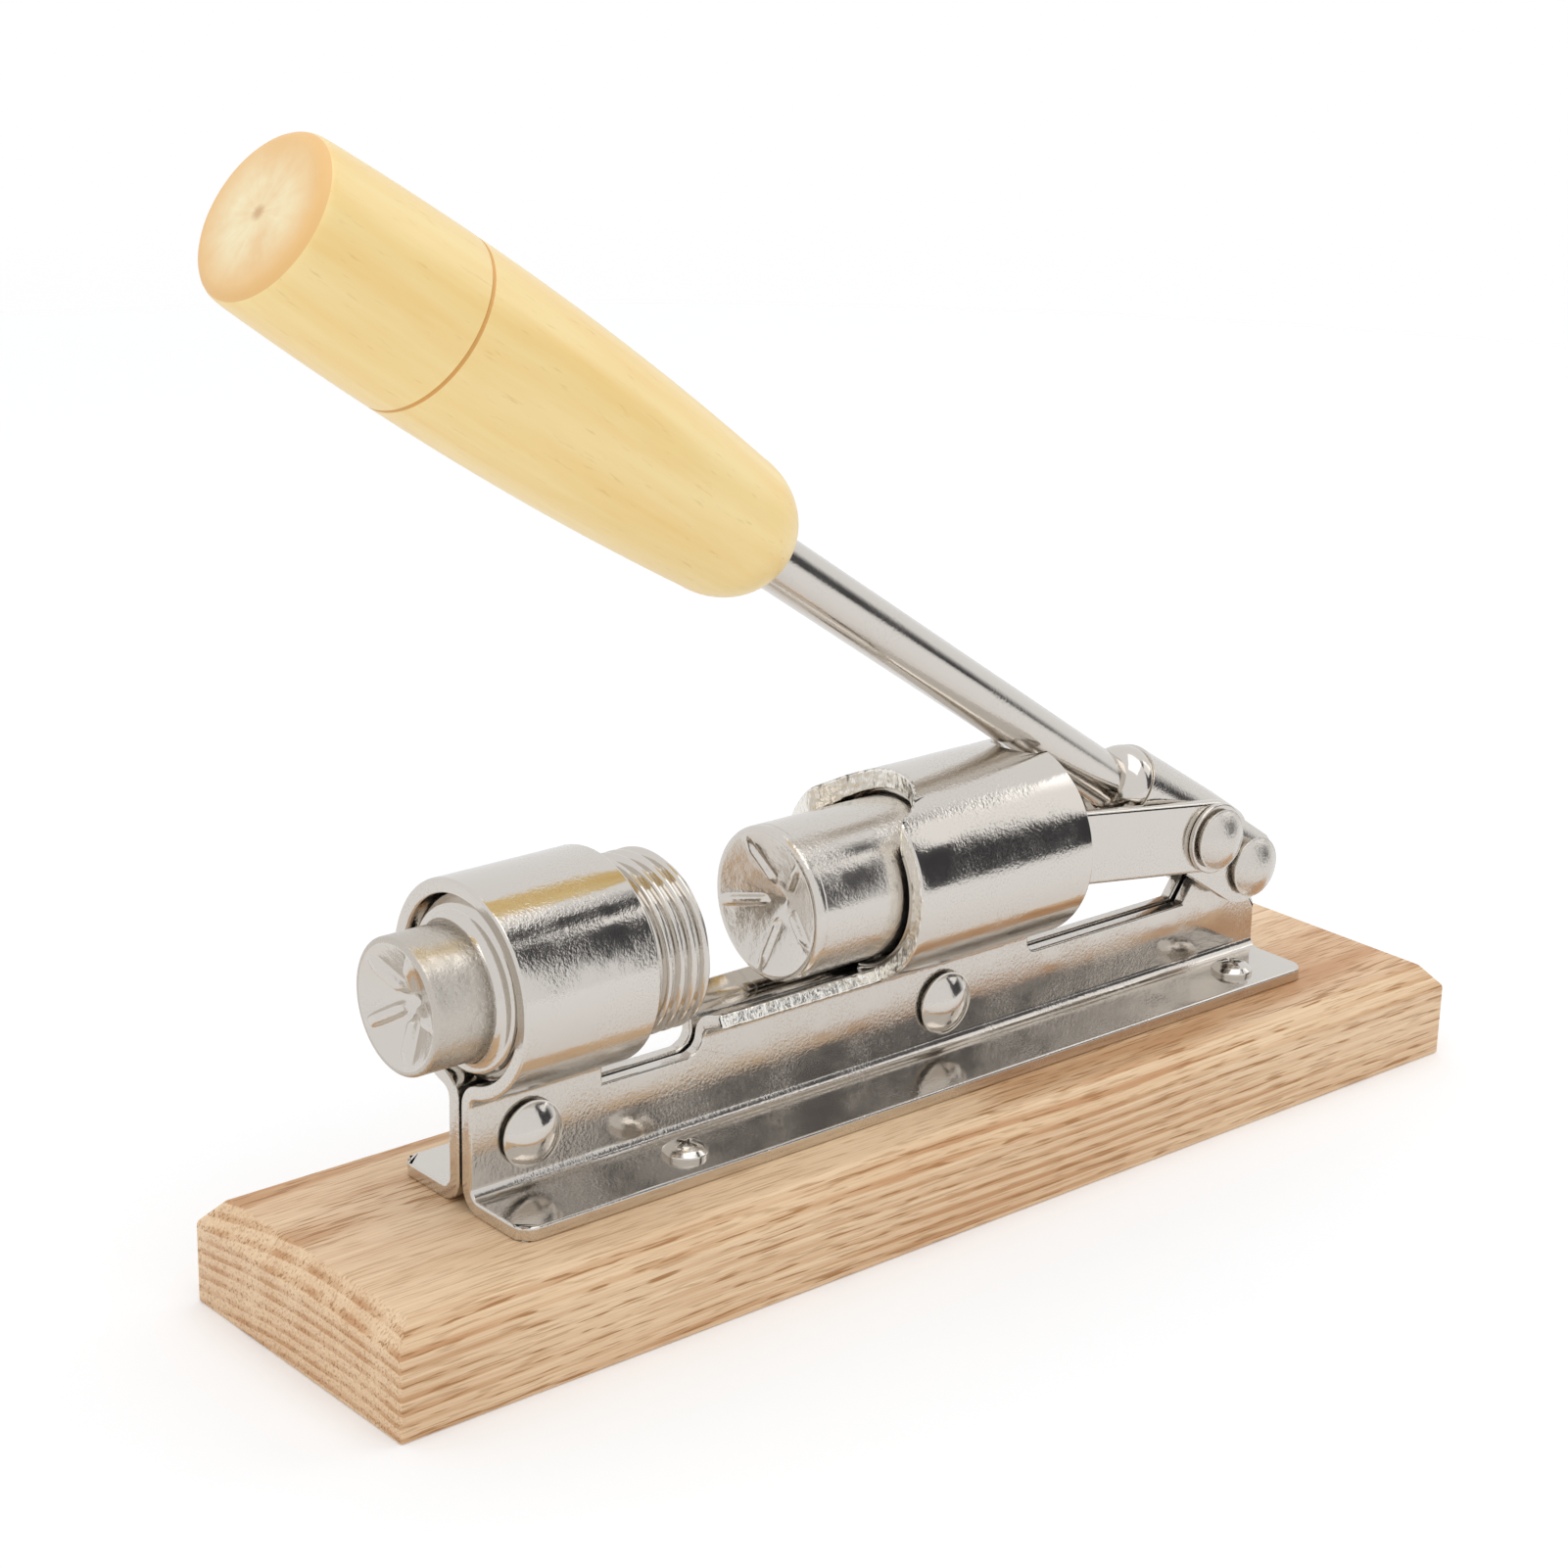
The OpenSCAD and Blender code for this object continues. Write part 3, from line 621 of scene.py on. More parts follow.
def make_piece(bm, name, materials, body, nodes=(), place=None, sharp=SHARP):
    """Finished piece in metres that rides on a body and stands for CAD nodes."""
    if place:
        bmesh.ops.transform(bm, matrix=place, verts=bm.verts)
    bmesh.ops.scale(bm, vec=(MM, MM, MM), verts=bm.verts)
    bmesh.ops.recalc_face_normals(bm, faces=bm.faces)
    for face in bm.faces:
        face.smooth = True
    for edge in bm.edges:
        edge.smooth = (len(edge.link_faces) == 2
                       and edge.calc_face_angle(0) < math.radians(sharp))
    made = to_object(bm, name, materials)
    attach(made, body)
    if nodes:
        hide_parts(*nodes)
    return made


def soften(made, width, segments=3, clamp=False):
    """Rounds a piece's edges and keeps its flat faces flat."""
    change = made.modifiers.new("rounded_edges", "BEVEL")
    change.width = width * MM
    change.segments = segments
    change.limit_method = "ANGLE"
    change.angle_limit = math.radians(30)
    change.use_clamp_overlap = clamp
    for edge in made.data.edges:
        edge.use_edge_sharp = False
    shade = made.modifiers.new("flat_faces", "WEIGHTED_NORMAL")
    shade.keep_sharp = True
    shade.weight = 100


def round_off(bm, edges, width, segments, clamp=False):
    """Rounds edges of a bmesh."""
    bmesh.ops.bevel(bm, geom=edges, affect="EDGES", offset=width, offset_type="OFFSET",
                    segments=segments, profile=0.5, material=-1, clamp_overlap=clamp)


def sharp_edges(bm, angle):
    """Edges where the surface turns by more than an angle in degrees."""
    return [e for e in bm.edges if len(e.link_faces) == 2
            and e.calc_face_angle(0) > math.radians(angle)]


def finish_faces(bm, pick):
    """Gives each face the material picked by its place along the axis and its radius."""
    for face in bm.faces:
        centre = face.calc_center_median()
        face.material_index = pick(centre.x, math.hypot(centre.y, centre.z))


def build_board():
    """Board: the bevel round its top is drawn in, then every edge is eased as sanded."""
    length, width, height = BOARD
    straight = height - BEVEL_HEIGHT
    bm = block((length, width, straight), (0, 0, straight / 2))
    top = max(bm.faces, key=lambda f: f.calc_center_median().z)
    made = bmesh.ops.extrude_face_region(bm, geom=[top])["geom"]
    bmesh.ops.delete(bm, geom=[top], context="FACES_ONLY")
    for vert in verts_in(made):
        vert.co.x -= math.copysign(BEVEL_WIDTH, vert.co.x)
        vert.co.y -= math.copysign(BEVEL_WIDTH, vert.co.y)
        vert.co.z = height
    round_off(bm, sharp_edges(bm, 20), chosen("board_ease"), 4, clamp=True)
    make_piece(bm, "oak_board", ["oiled oak"], "base", ["base_board"])


def strip(bm, outline, start, end):
    """Part of the sheet's middle surface: an outline in Y and Z drawn along X."""
    edges = chain(bm, [(start, y, z) for y, z in outline])[1]
    bmesh.ops.translate(bm, vec=(end - start, 0, 0), verts=carry_on(bm, edges)[1])


def sheet_stock():
    """The frame's sheet before it is cut: two feet and webs under one barrel, with plain
    webs behind it for the ears."""
    mid = SHEET / 2
    web = WEB_GAP / 2 + mid
    bend = BEND_R + mid
    bend_y = web + bend
    foot_z = BOARD[2] + mid
    split_z = WINDOW_Z + 1
    bend_top = BARREL_Z - math.sqrt((BARREL_R + BEND_R) ** 2 - bend_y ** 2)
    tangent = math.degrees(math.atan2(BARREL_Z - bend_top, bend_y))
    lower = [(-FOOT_HALF, foot_z)] + arc((-bend_y, foot_z + bend), bend, -90, 0, 10)
    lower.append((-web, split_z))
    upper = [(-web, split_z)] + arc((-bend_y, bend_top), bend, 0, tangent, 8)
    upper += arc((0, BARREL_Z), BARREL_R - mid, tangent - 180, -270, 150)[1:]
    rear = [(-web, split_z), (-web, EAR_TOP)]
    # stations round the cuts keep the smooth shading true there
    stations = [FRAME_FRONT, -62, -56]
    stations += [REAR_BARREL_FRONT + step for step in (-6, -1, 2, 6, 9, 12, 16, 28, 34)]
    stations += [BARREL_STOP, EAR_START, FRAME_REAR]
    bm = bmesh.new()
    for side in (1, -1):
        turned = [[(side * y, z) for y, z in part] for part in (lower, upper, rear)]
        for start, end in zip(stations, stations[1:]):
            strip(bm, turned[0], start, end)
            if end <= BARREL_STOP:
                strip(bm, turned[1], start, end)
        strip(bm, turned[2], EAR_START, FRAME_REAR)
    bmesh.ops.remove_doubles(bm, verts=bm.verts, dist=0.01)
    return thickened(bm, SHEET, ["nickel plated sheet", "sheared sheet edge"])


def ear_outline():
    """Opening behind the rear barrel, round the ears and the webs' rear corner."""
    top = Vector((PIVOT.x - 0.8, PIVOT.z))
    foot = Vector((EAR_FOOT_X, WINDOW_Z))
    reach = foot - top
    slope = math.degrees(math.atan2(reach.y, reach.x)) - math.degrees(
        math.acos(EAR_R / reach.length))
    corner_z = WINDOW_Z - REAR_DROP
    points = [(REAR_BARREL_END, 60)]
    points += arc((REAR_BARREL_END + 2, WINDOW_Z + 2), 2, 180, 270, 6)
    points += [foot] + arc(top, EAR_R, slope % 360, 0, 24)
    points += arc((FRAME_REAR - 4, corner_z), 4, 55, 0, 6)
    return points + [(FAR, corner_z), (FAR, ABOVE), (REAR_BARREL_END, ABOVE)]


def mouth_outline():
    """Loading mouth from above, with its two points rounded off at the barrel's front."""
    slope = math.degrees(math.acos(MOUTH_REACH / (MOUTH_R + MOUTH_EASE)))
    beside = math.sqrt((MOUTH_R + MOUTH_EASE) ** 2 - MOUTH_REACH ** 2)
    point_x = MOUTH_X + MOUTH_REACH
    points = arc((MOUTH_X, 0), MOUTH_R, -slope, slope, 60)
    points += arc((point_x, beside), MOUTH_EASE, slope + 180, 180, 10)[1:]
    points += [(MOUTH_X - 10, beside), (MOUTH_X - 10, -beside)]
    return points + arc((point_x, -beside), MOUTH_EASE, 180, 180 - slope, 10)[:-1]


def barrel_lip(key):
    """Ring that thickens the rear barrel's front inward, open over the webs' gap."""
    front, back, bore = REAR_BARREL_FRONT, REAR_BARREL_FRONT + LIP_LENGTH, BARREL_R - SHEET
    inner, outer = bore - LIP_DEPTH, bore + 1
    lip = lathe([(front, inner), (front, outer), (back, outer), (back, inner),
                 (front, inner)], 192)
    bmesh.ops.transform(lip, matrix=ON_BARREL, verts=lip.verts)
    top = BARREL_Z - 5
    slot = prism([(-LIP_SLOT, 20), (LIP_SLOT, 20), (LIP_SLOT, top), (-LIP_SLOT, top)],
                 -SIDE, SIDE, "X")
    return carved(lip, [slot], [key])


def build_frame():
    """Bent sheet frame: stock, then the windows, the cradle and the notches are cut."""
    bm = sheet_stock()
    corners = [e for e in bm.edges if abs(e.verts[0].co.z - e.verts[1].co.z) > SHEET * 0.9
               and all(abs(abs(v.co.y) - FOOT_HALF) < 0.01 for v in e.verts)
               and all(v.co.x < FRAME_FRONT + 0.01 or v.co.x > FRAME_REAR - 0.01
                       for v in e.verts)]
    round_off(bm, corners, FOOT_CORNER_R, 8)
    window = [(FRONT_BARREL_END, WINDOW_Z)]
    window += arc((FRONT_WINDOW_END - 3, WINDOW_Z + 3), 3, 270, 360, 8)
    window += [(FRONT_WINDOW_END, ABOVE), (FRONT_BARREL_END, ABOVE)]
    wide = FAR * math.sin(math.radians(CRADLE_ANGLE))
    low = BARREL_Z - FAR * math.cos(math.radians(CRADLE_ANGLE))
    wedge = [(0, BARREL_Z), (wide, low), (FAR, low), (FAR, FAR), (-FAR, FAR), (-FAR, low),
             (-wide, low)]
    notch = arc((NOTCH_X, 0), NOTCH_R, 90, 270, 24) + [(SIDE, -NOTCH_R), (SIDE, NOTCH_R)]
    keys = ["nickel plated sheet", "sheared sheet edge"]
    bm = carved(bm, [barrel_lip(keys[0])], keys[:1], operation="UNION")
    bm = carved(bm, [prism(window, -SIDE, SIDE, "Y"), prism(ear_outline(), -SIDE, SIDE, "Y")],
                keys[:1])
    bm = carved(bm, [prism(wedge, CRADLE_FRONT, REAR_BARREL_FRONT, "X"),
                     prism(mouth_outline(), BARREL_Z, ABOVE, "Z"),
                     prism(notch, BARREL_Z, ABOVE, "Z")], keys[:1], keys[1])
    # wide faces with many corners are split, so the round of the edges keeps them whole
    bmesh.ops.remove_doubles(bm, verts=bm.verts, dist=0.12)
    bmesh.ops.triangulate(bm, faces=[f for f in bm.faces if len(f.verts) > 8])
    made = make_piece(bm, "bent_frame", keys, "base", ["frame"])
    soften(made, chosen("edge_round"))


def helix_stock(start, end, pitch, steps):
    """Continuous thread surface round the X axis, cut square at both ends."""
    half, root, crest = pitch / 2, THREAD_ROOT, THREAD_CREST
    flank = [(half * 0.12, crest), (half * 0.26, crest - 0.12), (half * 0.62, root + 0.06),
             (half, root)]
    tooth = [(-x, r) for x, r in reversed(flank)] + flank
    first = start - pitch * 1.5
    bm = bmesh.new()
    verts, edges = chain(bm, [(first + x, 0, r) for x, r in tooth])
    bmesh.ops.spin(bm, geom=verts + edges, cent=(0, 0, 0), axis=(1, 0, 0),
                   dvec=(pitch / steps, 0, 0), angle=math.tau, steps=steps,
                   use_merge=False, use_duplicate=False)
    one_turn = bm.verts[:] + bm.edges[:] + bm.faces[:]
    for number in range(1, int((end - start) / pitch) + 3):
        copy = bmesh.ops.duplicate(bm, geom=one_turn)["geom"]
        bmesh.ops.translate(bm, vec=(pitch * number, 0, 0), verts=verts_in(copy))
    bmesh.ops.remove_doubles(bm, verts=bm.verts, dist=1e-3)
    for x, side in ((start, -1), (end, 1)):
        bmesh.ops.bisect_plane(bm, geom=bm.verts[:] + bm.edges[:] + bm.faces[:],
                               plane_co=(x, 0, 0), plane_no=(side, 0, 0), clear_outer=True)
    return bm


def turn_on(bm, x_face, outline):
    """Carries the open rim at x_face on through an outline of distance along and radius,
    which ends on the axis."""
    rim = [e for e in bm.edges if e.is_boundary
           and all(abs(v.co.x - x_face) < 1e-3 for v in e.verts)]
    for x, radius in outline:
        rim, fresh = carry_on(bm, rim)
        for vert in fresh:
            flat = Vector((0, vert.co.y, vert.co.z))
            vert.co = Vector((x, 0, 0)) + flat.normalized() * radius
    bmesh.ops.remove_doubles(bm, verts=bm.verts, dist=1e-4)


def cup_outline(face, inward, rim, rings=30):
    """Outline of a conical cup from its rim to its centre."""
    return [(face + inward * CUP_DEPTH * k / rings, rim * (1 - k / rings))
            for k in range(rings + 1)]


def raise_ribs(bm, face, inward, rim, angle, inner, outer, half, height):
    """Moves a cup's surface up into rounded ribs, as the mould leaves them: the first at an
    angle in degrees, each from an inner to an outer radius, of a half width and a height."""
    for vert in bm.verts:
        radius = math.hypot(vert.co.y, vert.co.z)
        down = (vert.co.x - face) * inward
        if radius > rim + 0.02 or down < -0.01 or down > CUP_DEPTH + 0.6:
            continue
        bearing = math.atan2(vert.co.z, vert.co.y)
        best = 0
        for k in range(RIBS):
            off = bearing - math.radians(angle + 360 * k / RIBS)
            along, across = radius * math.cos(off), abs(radius * math.sin(off))
            near = math.hypot(across, max(inner - along, along - outer, 0))
            if along > 0 and near < half + RIB_BLEND:
                t = min(1, max(0, (half + RIB_BLEND - near) / (2 * RIB_BLEND)))
                best = max(best, t * t * (3 - 2 * t) * (1 - 0.25 * (near / half) ** 2))
        rise = min(height, CUP_DEPTH * (1 - radius / rim))
        vert.co.x = face + inward * (down - best * rise)


def build_anvil():
    """Anvil: threaded body, small cup outside and large cup towards the ram."""
    bm = helix_stock(SHOULDER_X + 0.1, ANVIL_FACE_X - 0.1, chosen("thread_pitch"), 240)
    # the thread runs out in a bevel at both ends
    for vert in bm.verts:
        radius = math.hypot(vert.co.y, vert.co.z)
        limit = min(13.8 + vert.co.x - SHOULDER_X, 14.9 + ANVIL_FACE_X - vert.co.x)
        if radius > limit:
            vert.co.y *= limit / radius
            vert.co.z *= limit / radius
    front = [(SHOULDER_X, 13.6)] + rounded([
        (SHOULDER_X, 13.6), (SHOULDER_X, CUP_R, 1.8), (CUP_X, CUP_R, 0.7),
        (CUP_X, 10.7, 0.15), (CUP_X + 0.01, SMALL_CUP)])[1:]
    turn_on(bm, SHOULDER_X + 0.1, front + cup_outline(CUP_X, 1, SMALL_CUP)[1:])
    turn_on(bm, ANVIL_FACE_X - 0.1, [(ANVIL_FACE_X, 14.3), (ANVIL_FACE_X, 13)]
            + cup_outline(ANVIL_FACE_X, -1, LARGE_CUP))
    raise_ribs(bm, CUP_X, 1, SMALL_CUP, 39, 3.4, 8.8, 1.05, 1.6)
    raise_ribs(bm, ANVIL_FACE_X, -1, LARGE_CUP, 60, 3.8, 12.2, 0.85, 1.4)
    # the cast cup and the threaded body differ in finish
    finish_faces(bm, lambda x, r: 2 if r < SMALL_CUP - 0.05 and x < CUP_X + 6
                 else int(x < SHOULDER_X - 1.2))
    make_piece(bm, "threaded_anvil",
               ["nickel plated steel", "nickel plated casting", "polished casting"], "anvil",
               ["anvil"], ON_BARREL, CUP_SHARP)


def build_ram():
    """Ram: cupped head, guide behind it, and the tongue that takes its pin."""
    outline = [(RAM_FACE_X, 12.75)] + rounded([
        (RAM_FACE_X, LARGE_CUP), (RAM_FACE_X, RAM_R, 1.1), (RAM_FACE_X + 1.7, RAM_R),
        (RAM_FACE_X + 1.85, RAM_R - RAM_GROOVE), (RAM_FACE_X + 2.2, RAM_R - RAM_GROOVE),
        (RAM_FACE_X + 2.35, RAM_R), (RAM_HEAD_END, RAM_R, 0.6), (RAM_HEAD_END, SLIDE_R, 0.6),
        (GUIDE_END, SLIDE_R, 0.8), (GUIDE_END, 0)])[1:]
    cup = cup_outline(RAM_FACE_X, 1, LARGE_CUP, 34)
    bm = lathe(cup[::-1] + outline, 256)
    raise_ribs(bm, RAM_FACE_X, 1, LARGE_CUP, 60, 4.4, 12.3, 0.8, 1.2)
    finish_faces(bm, lambda x, r: int(r < LARGE_CUP + 0.02 and x < 0))
    make_piece(bm, "ram_head", ["turned ram", "polished casting"], "ram",
               ["ram"], ON_BARREL, CUP_SHARP)
    start = GUIDE_END - 2
    bm = block((RAM_PIN.x - start, TONGUE_WIDTH, TONGUE_HEIGHT),
               ((RAM_PIN.x + start) / 2, 0, RAM_PIN.z))
    rear = [e for e in bm.edges if all(v.co.x > RAM_PIN.x - 0.1 for v in e.verts)
            and abs(e.verts[0].co.y - e.verts[1].co.y) > 1]
    for vert in bm.verts:
        if vert.co.x > RAM_PIN.x - 0.1:
            vert.co.x += TONGUE_HEIGHT / 2
    round_off(bm, rear, TONGUE_HEIGHT / 2 - 0.05, 12)
    round_off(bm, sharp_edges(bm, 30), 0.5, 3, clamp=True)
    make_piece(bm, "ram_tongue", ["nickel plated steel"], "ram")
    bm = lathe(rounded([(-PIN_HALF, 0), (-PIN_HALF, PIN_R, 0.4), (PIN_HALF, PIN_R, 0.4),
                        (PIN_HALF, 0)]), 48)
    make_piece(bm, "ram_pin_bar", ["nickel plated steel"], "ram", ["ram_pin"],
               Matrix.Translation(RAM_PIN) @ ACROSS)


def build_links():
    """Links: flat bars with round ends, pressed from sheet."""
    tilt = Matrix.Translation(LINK_RIVET) @ Matrix.Rotation(LINK_TILT, 4, "Y")
    outline = arc((0, 0), LINK_R, -90, 90, 40) + arc((-LINK_LENGTH, 0), LINK_R, 90, 270, 40)
    for start, name in ((-LINK_OUT, "near"), (LINK_IN, "far")):
        bm = prism(outline, start, start + LINK_OUT - LINK_IN, "Y")
        holes = [prism(arc((x, 0), r, 0, 360, 48)[:-1], -20, 20, "Y")
                 for x, r in ((0, RIVET_HOLE_R), (-LINK_LENGTH, PIN_HOLE_R))]
        bm = carved(bm, holes, ["nickel plated sheet"])
        made = make_piece(bm, f"link_bar_{name}", ["nickel plated sheet"], "links",
                          [f"link_{name}"], tilt)
        soften(made, 0.9, 4)


def yoke_outline(height, corner):
    """Yoke across the rod, from one cheek's lower edge round to the other's."""
    mid = YOKE_SHEET / 2
    half, top, r = YOKE_R - mid, height - mid, corner - mid
    near = [(-half, -CHEEK_DEPTH - 0.2)] + arc((-(half - r), top - r), r, 180, 90, 16)
    return near + [(-y, u) for y, u in reversed(near)]


def build_yoke():
    """Yoke: one sheet, round in front and squarer behind, with round cheek ends."""
    length = YOKE_SQUARE - YOKE_FRONT
    rows = []
    for s in [YOKE_FRONT + length * k / 8 for k in range(9)] + [YOKE_REAR]:
        t = min(1, (s - YOKE_FRONT) / length)
        height = YOKE_FRONT_TOP + (YOKE_TOP - YOKE_FRONT_TOP) * t
        corner = YOKE_R + (YOKE_CORNER - YOKE_R) * t
        rows.append([Vector((s, y, u)) for y, u in yoke_outline(height, corner)])
    bm = bmesh.new()
    edges = chain(bm, rows[0])[1]
    for before, row in zip(rows, rows[1:]):
        edges, fresh = carry_on(bm, edges)
        for vert in fresh:
            k = min(range(len(before)), key=lambda i: (before[i] - vert.co).length)
            vert.co = row[k]
    bmesh.ops.remove_doubles(bm, verts=bm.verts, dist=1e-3)
    keys = ["nickel plated sheet"]
    bm = thickened(bm, YOKE_SHEET, keys)
    end_r = (YOKE_TOP + CHEEK_DEPTH) / 2
    end_u = (YOKE_TOP - CHEEK_DEPTH) / 2
    below = [(-60, -CHEEK_DEPTH), (-60, -30), (30, -30), (30, 30), (YOKE_END_X, 30)]
    below += arc((YOKE_END_X, end_u), end_r, 90, -90, 40)
    inner = YOKE_R - YOKE_SHEET
    slot = [(YOKE_SLOT_X, 0), (40, 0), (40, 30), (YOKE_SLOT_X, 30)]
    bm = carved(bm, [prism(below, -30, 30, "Y"), prism(slot, -inner, inner, "Y")], keys)
    made = make_piece(bm, "yoke", keys, "lever", ["lever_yoke"], ON_LEVER)
    soften(made, chosen("edge_round"), clamp=True)


def build_rod():
    """Rod, and the bullnose collar that holds it in the yoke."""
    front, rear = NECK_S - 60, YOKE_FRONT + 3.5
    bm = lathe(rounded([(front, 0), (front, ROD_R), (rear, ROD_R, 0.3), (rear, 0)]), 96)
    make_piece(bm, "rod", ["nickel plated bar"], "lever", ["lever_rod"],
               ON_LEVER @ Matrix.Translation((0, 0, -ROD_DROP)))
    seat = YOKE_FRONT - 0.2
    edge_r = YOKE_FRONT - COLLAR_FRONT - 0.2
    outline = [(YOKE_FRONT - 0.05, 0), (YOKE_FRONT - 0.05, COLLAR_R - 0.25), (seat, COLLAR_R)]
    outline += arc((seat, COLLAR_R - edge_r), edge_r, 94, 180, 20) + [(COLLAR_FRONT, 0)]
    bm = lathe(outline, 128)
    bmesh.ops.translate(bm, vec=(0, 0, COLLAR_RISE), verts=bm.verts)
    hole = lathe([(-60, 0), (-60, ROD_R), (0, ROD_R), (0, 0)], 128)
    bmesh.ops.translate(hole, vec=(0, 0, -ROD_DROP), verts=hole.verts)
    bmesh.ops.recalc_face_normals(hole, faces=hole.faces)
    bm = carved(bm, [hole], ["nickel plated steel"])
    make_piece(bm, "collar", ["nickel plated steel"], "lever",
               ["rod_collar"], ON_LEVER)


def swell(s):
    """Radius of the handle's long curve at a distance along the lever."""
    return HANDLE_R - SWELL_R + math.sqrt(SWELL_R ** 2 - (s - SWELL_S) ** 2)


def swell_points(start, end, steps):
    """Points of the handle's long curve between two distances along the lever."""
    stations = [start + (end - start) * k / steps for k in range(steps + 1)]
    return [Vector((s, swell(s))) for s in stations]


def build_handle():
    """Turned handle: flat end with a soft rim, a groove with a darker brown line in its bottom
    and a round nose.
    """
    nose_s = NECK_S - NOSE_LENGTH
    brink = swell(GROOVE_S) - 0.01
    outline = rounded([(HANDLE_END_S + 0.02, 0), (HANDLE_END_S + 0.02, swell(HANDLE_END_S), 2.5),
                       (GROOVE_S - GROOVE_HALF, brink, 0.12),
                       (GROOVE_S, swell(GROOVE_S) - GROOVE_DEPTH, 0.15),
                       (GROOVE_S + GROOVE_HALF, brink, 0.12),
                       (GROOVE_S + 3, swell(GROOVE_S + 3))], 6)
    split = next(i for i, point in enumerate(outline) if point.x > HANDLE_END_S + 3)
    outline[split:split] = swell_points(HANDLE_END_S + 4, GROOVE_S - 4, 10)
    outline += swell_points(GROOVE_S + 4, nose_s, 20)
    for k in range(1, 29):
        a = math.pi / 2 * k / 28
        radius = swell(nose_s) * math.cos(a)
        if radius < ROD_R - 0.4:
            break
        outline.append(Vector((nose_s + NOSE_LENGTH * math.sin(a), radius)))
    outline.append(Vector((outline[-1].x - 2, 0)))
    bm = lathe(outline, 160)
    finish_faces(bm, lambda s, r: 1 if s < HANDLE_END_S + 1.2
                 else 2 * int(abs(s - GROOVE_S) < GROOVE_HALF - 0.04))
    make_piece(bm, "turned_handle", ["handle wood", "handle end grain", "darker groove line"],
               "lever", ["handle_grip"], ON_LEVER)


def dome_outline(start, neck_r=4.8, head_r=6.1, neck_h=0.7, head_h=2.6):
    """Half of a rivet: shank, narrow neck and dome, outwards along X."""
    crown = (head_r ** 2 + head_h ** 2) / (2 * head_h)
    spread = math.asin(head_r / crown)
    points = [(start - 0.6, 0), (start - 0.6, neck_r), (start + neck_h - 0.1, neck_r, 0.1)]
    points += [(start + neck_h, head_r, 0.22)]
    out = rounded(points + [(start + neck_h + 0.35, head_r - 0.12)], 4)
    for k in range(1, 25):
        a = spread * (1 - k / 24)
        x = start + neck_h + 0.15 + (head_h - 0.15) - crown * (1 - math.cos(a))
        if x > out[-1].x:
            out.append(Vector((x, crown * math.sin(a))))
    return out


def build_rivets():
    """Domed rivets: one head on each side, on a shank that fills its holes."""
    rivets = {"frame_rivet_front": (Vector((-81, 0, RIVET_Z)), WEB_Y, "steel", "base"),
              "frame_rivet_rear": (Vector((12, 0, RIVET_Z)), WEB_Y, "steel", "base"),
              "pivot_rivet": (PIVOT, 8.1, "rivet", "base"),
              "link_rivet": (LINK_RIVET, 12.1, "rivet", "lever")}
    for node, (centre, head, finish, body) in rivets.items():
        dome = dome_outline(head)
        shank = [(-head, 0), (-head, 3), (head, 3), (head, 0)]
        bm = bmesh.new()
        for outline, angle, steps in ((dome, 90, 64), (dome, -90, 64), (shank, 90, 48)):
            part = lathe(outline, steps)
            turn(part, angle, "Z")
            join(bm, part)
        make_piece(bm, f"{node}_domed", [f"nickel plated {finish}"], body, [node],
                   Matrix.Translation(centre))


def build_washers():
    """Washers under the link rivet's heads, and spacers beside the ears."""
    rings = {"link_washer_near": (LINK_RIVET, -WASHER_OUT, -WASHER_IN, 6.9, "lever"),
             "link_washer_far": (LINK_RIVET, WASHER_IN, WASHER_OUT, 6.9, "lever"),
             "pivot_spacer_near": (PIVOT, -5.7, -WEB_Y, 5.6, "base"),
             "pivot_spacer_far": (PIVOT, WEB_Y, 5.7, 5.6, "base")}
    for node, (centre, start, end, radius, body) in rings.items():
        bm = lathe(rounded([(start, HOLE_R), (start, radius, 0.3), (end, radius, 0.3),
                            (end, HOLE_R)], 4) + [(start, HOLE_R)], 64)
        make_piece(bm, f"{node}_ring", ["nickel plated steel"], body, [node],
                   Matrix.Translation(centre) @ ACROSS)


def build_screws():
    """Pan head screws with a cross recess, each turned as it happened to be driven."""
    places = {"screw_near_front": (-54, -SCREW_Y, 20), "screw_near_rear": (83, -SCREW_Y, 65),
              "screw_far_front": (-54, SCREW_Y, 50), "screw_far_rear": (83, SCREW_Y, 5)}
    head = rounded([(-0.5, 0), (-0.5, 3.6), (0, 4.0, 0.1), (0.75, 4.0, 0.35),
                    (1.5, 3.1, 0.8), (2.05, 1.9, 1.2), (2.2, 0)])
    recess = [(-2.0, 0.75), (2.0, 0.75), (2.3, 3), (-2.3, 3)]
    for node, (x, y, driven) in places.items():
        bm = lathe(head, 64)
        turn(bm, -90, "Y")
        arms = [prism(recess, -0.42, 0.42, "Y") for k in range(2)]
        for k, arm in enumerate(arms):
            turn(arm, driven + 90 * k, "Z")
        bm = carved(bm, arms, ["nickel plated steel"])
        made = make_piece(bm, f"{node}_head", ["nickel plated steel"], "base",
                          [node], Matrix.Translation((x, y, FOOT_TOP)))
        soften(made, 0.12, 2)


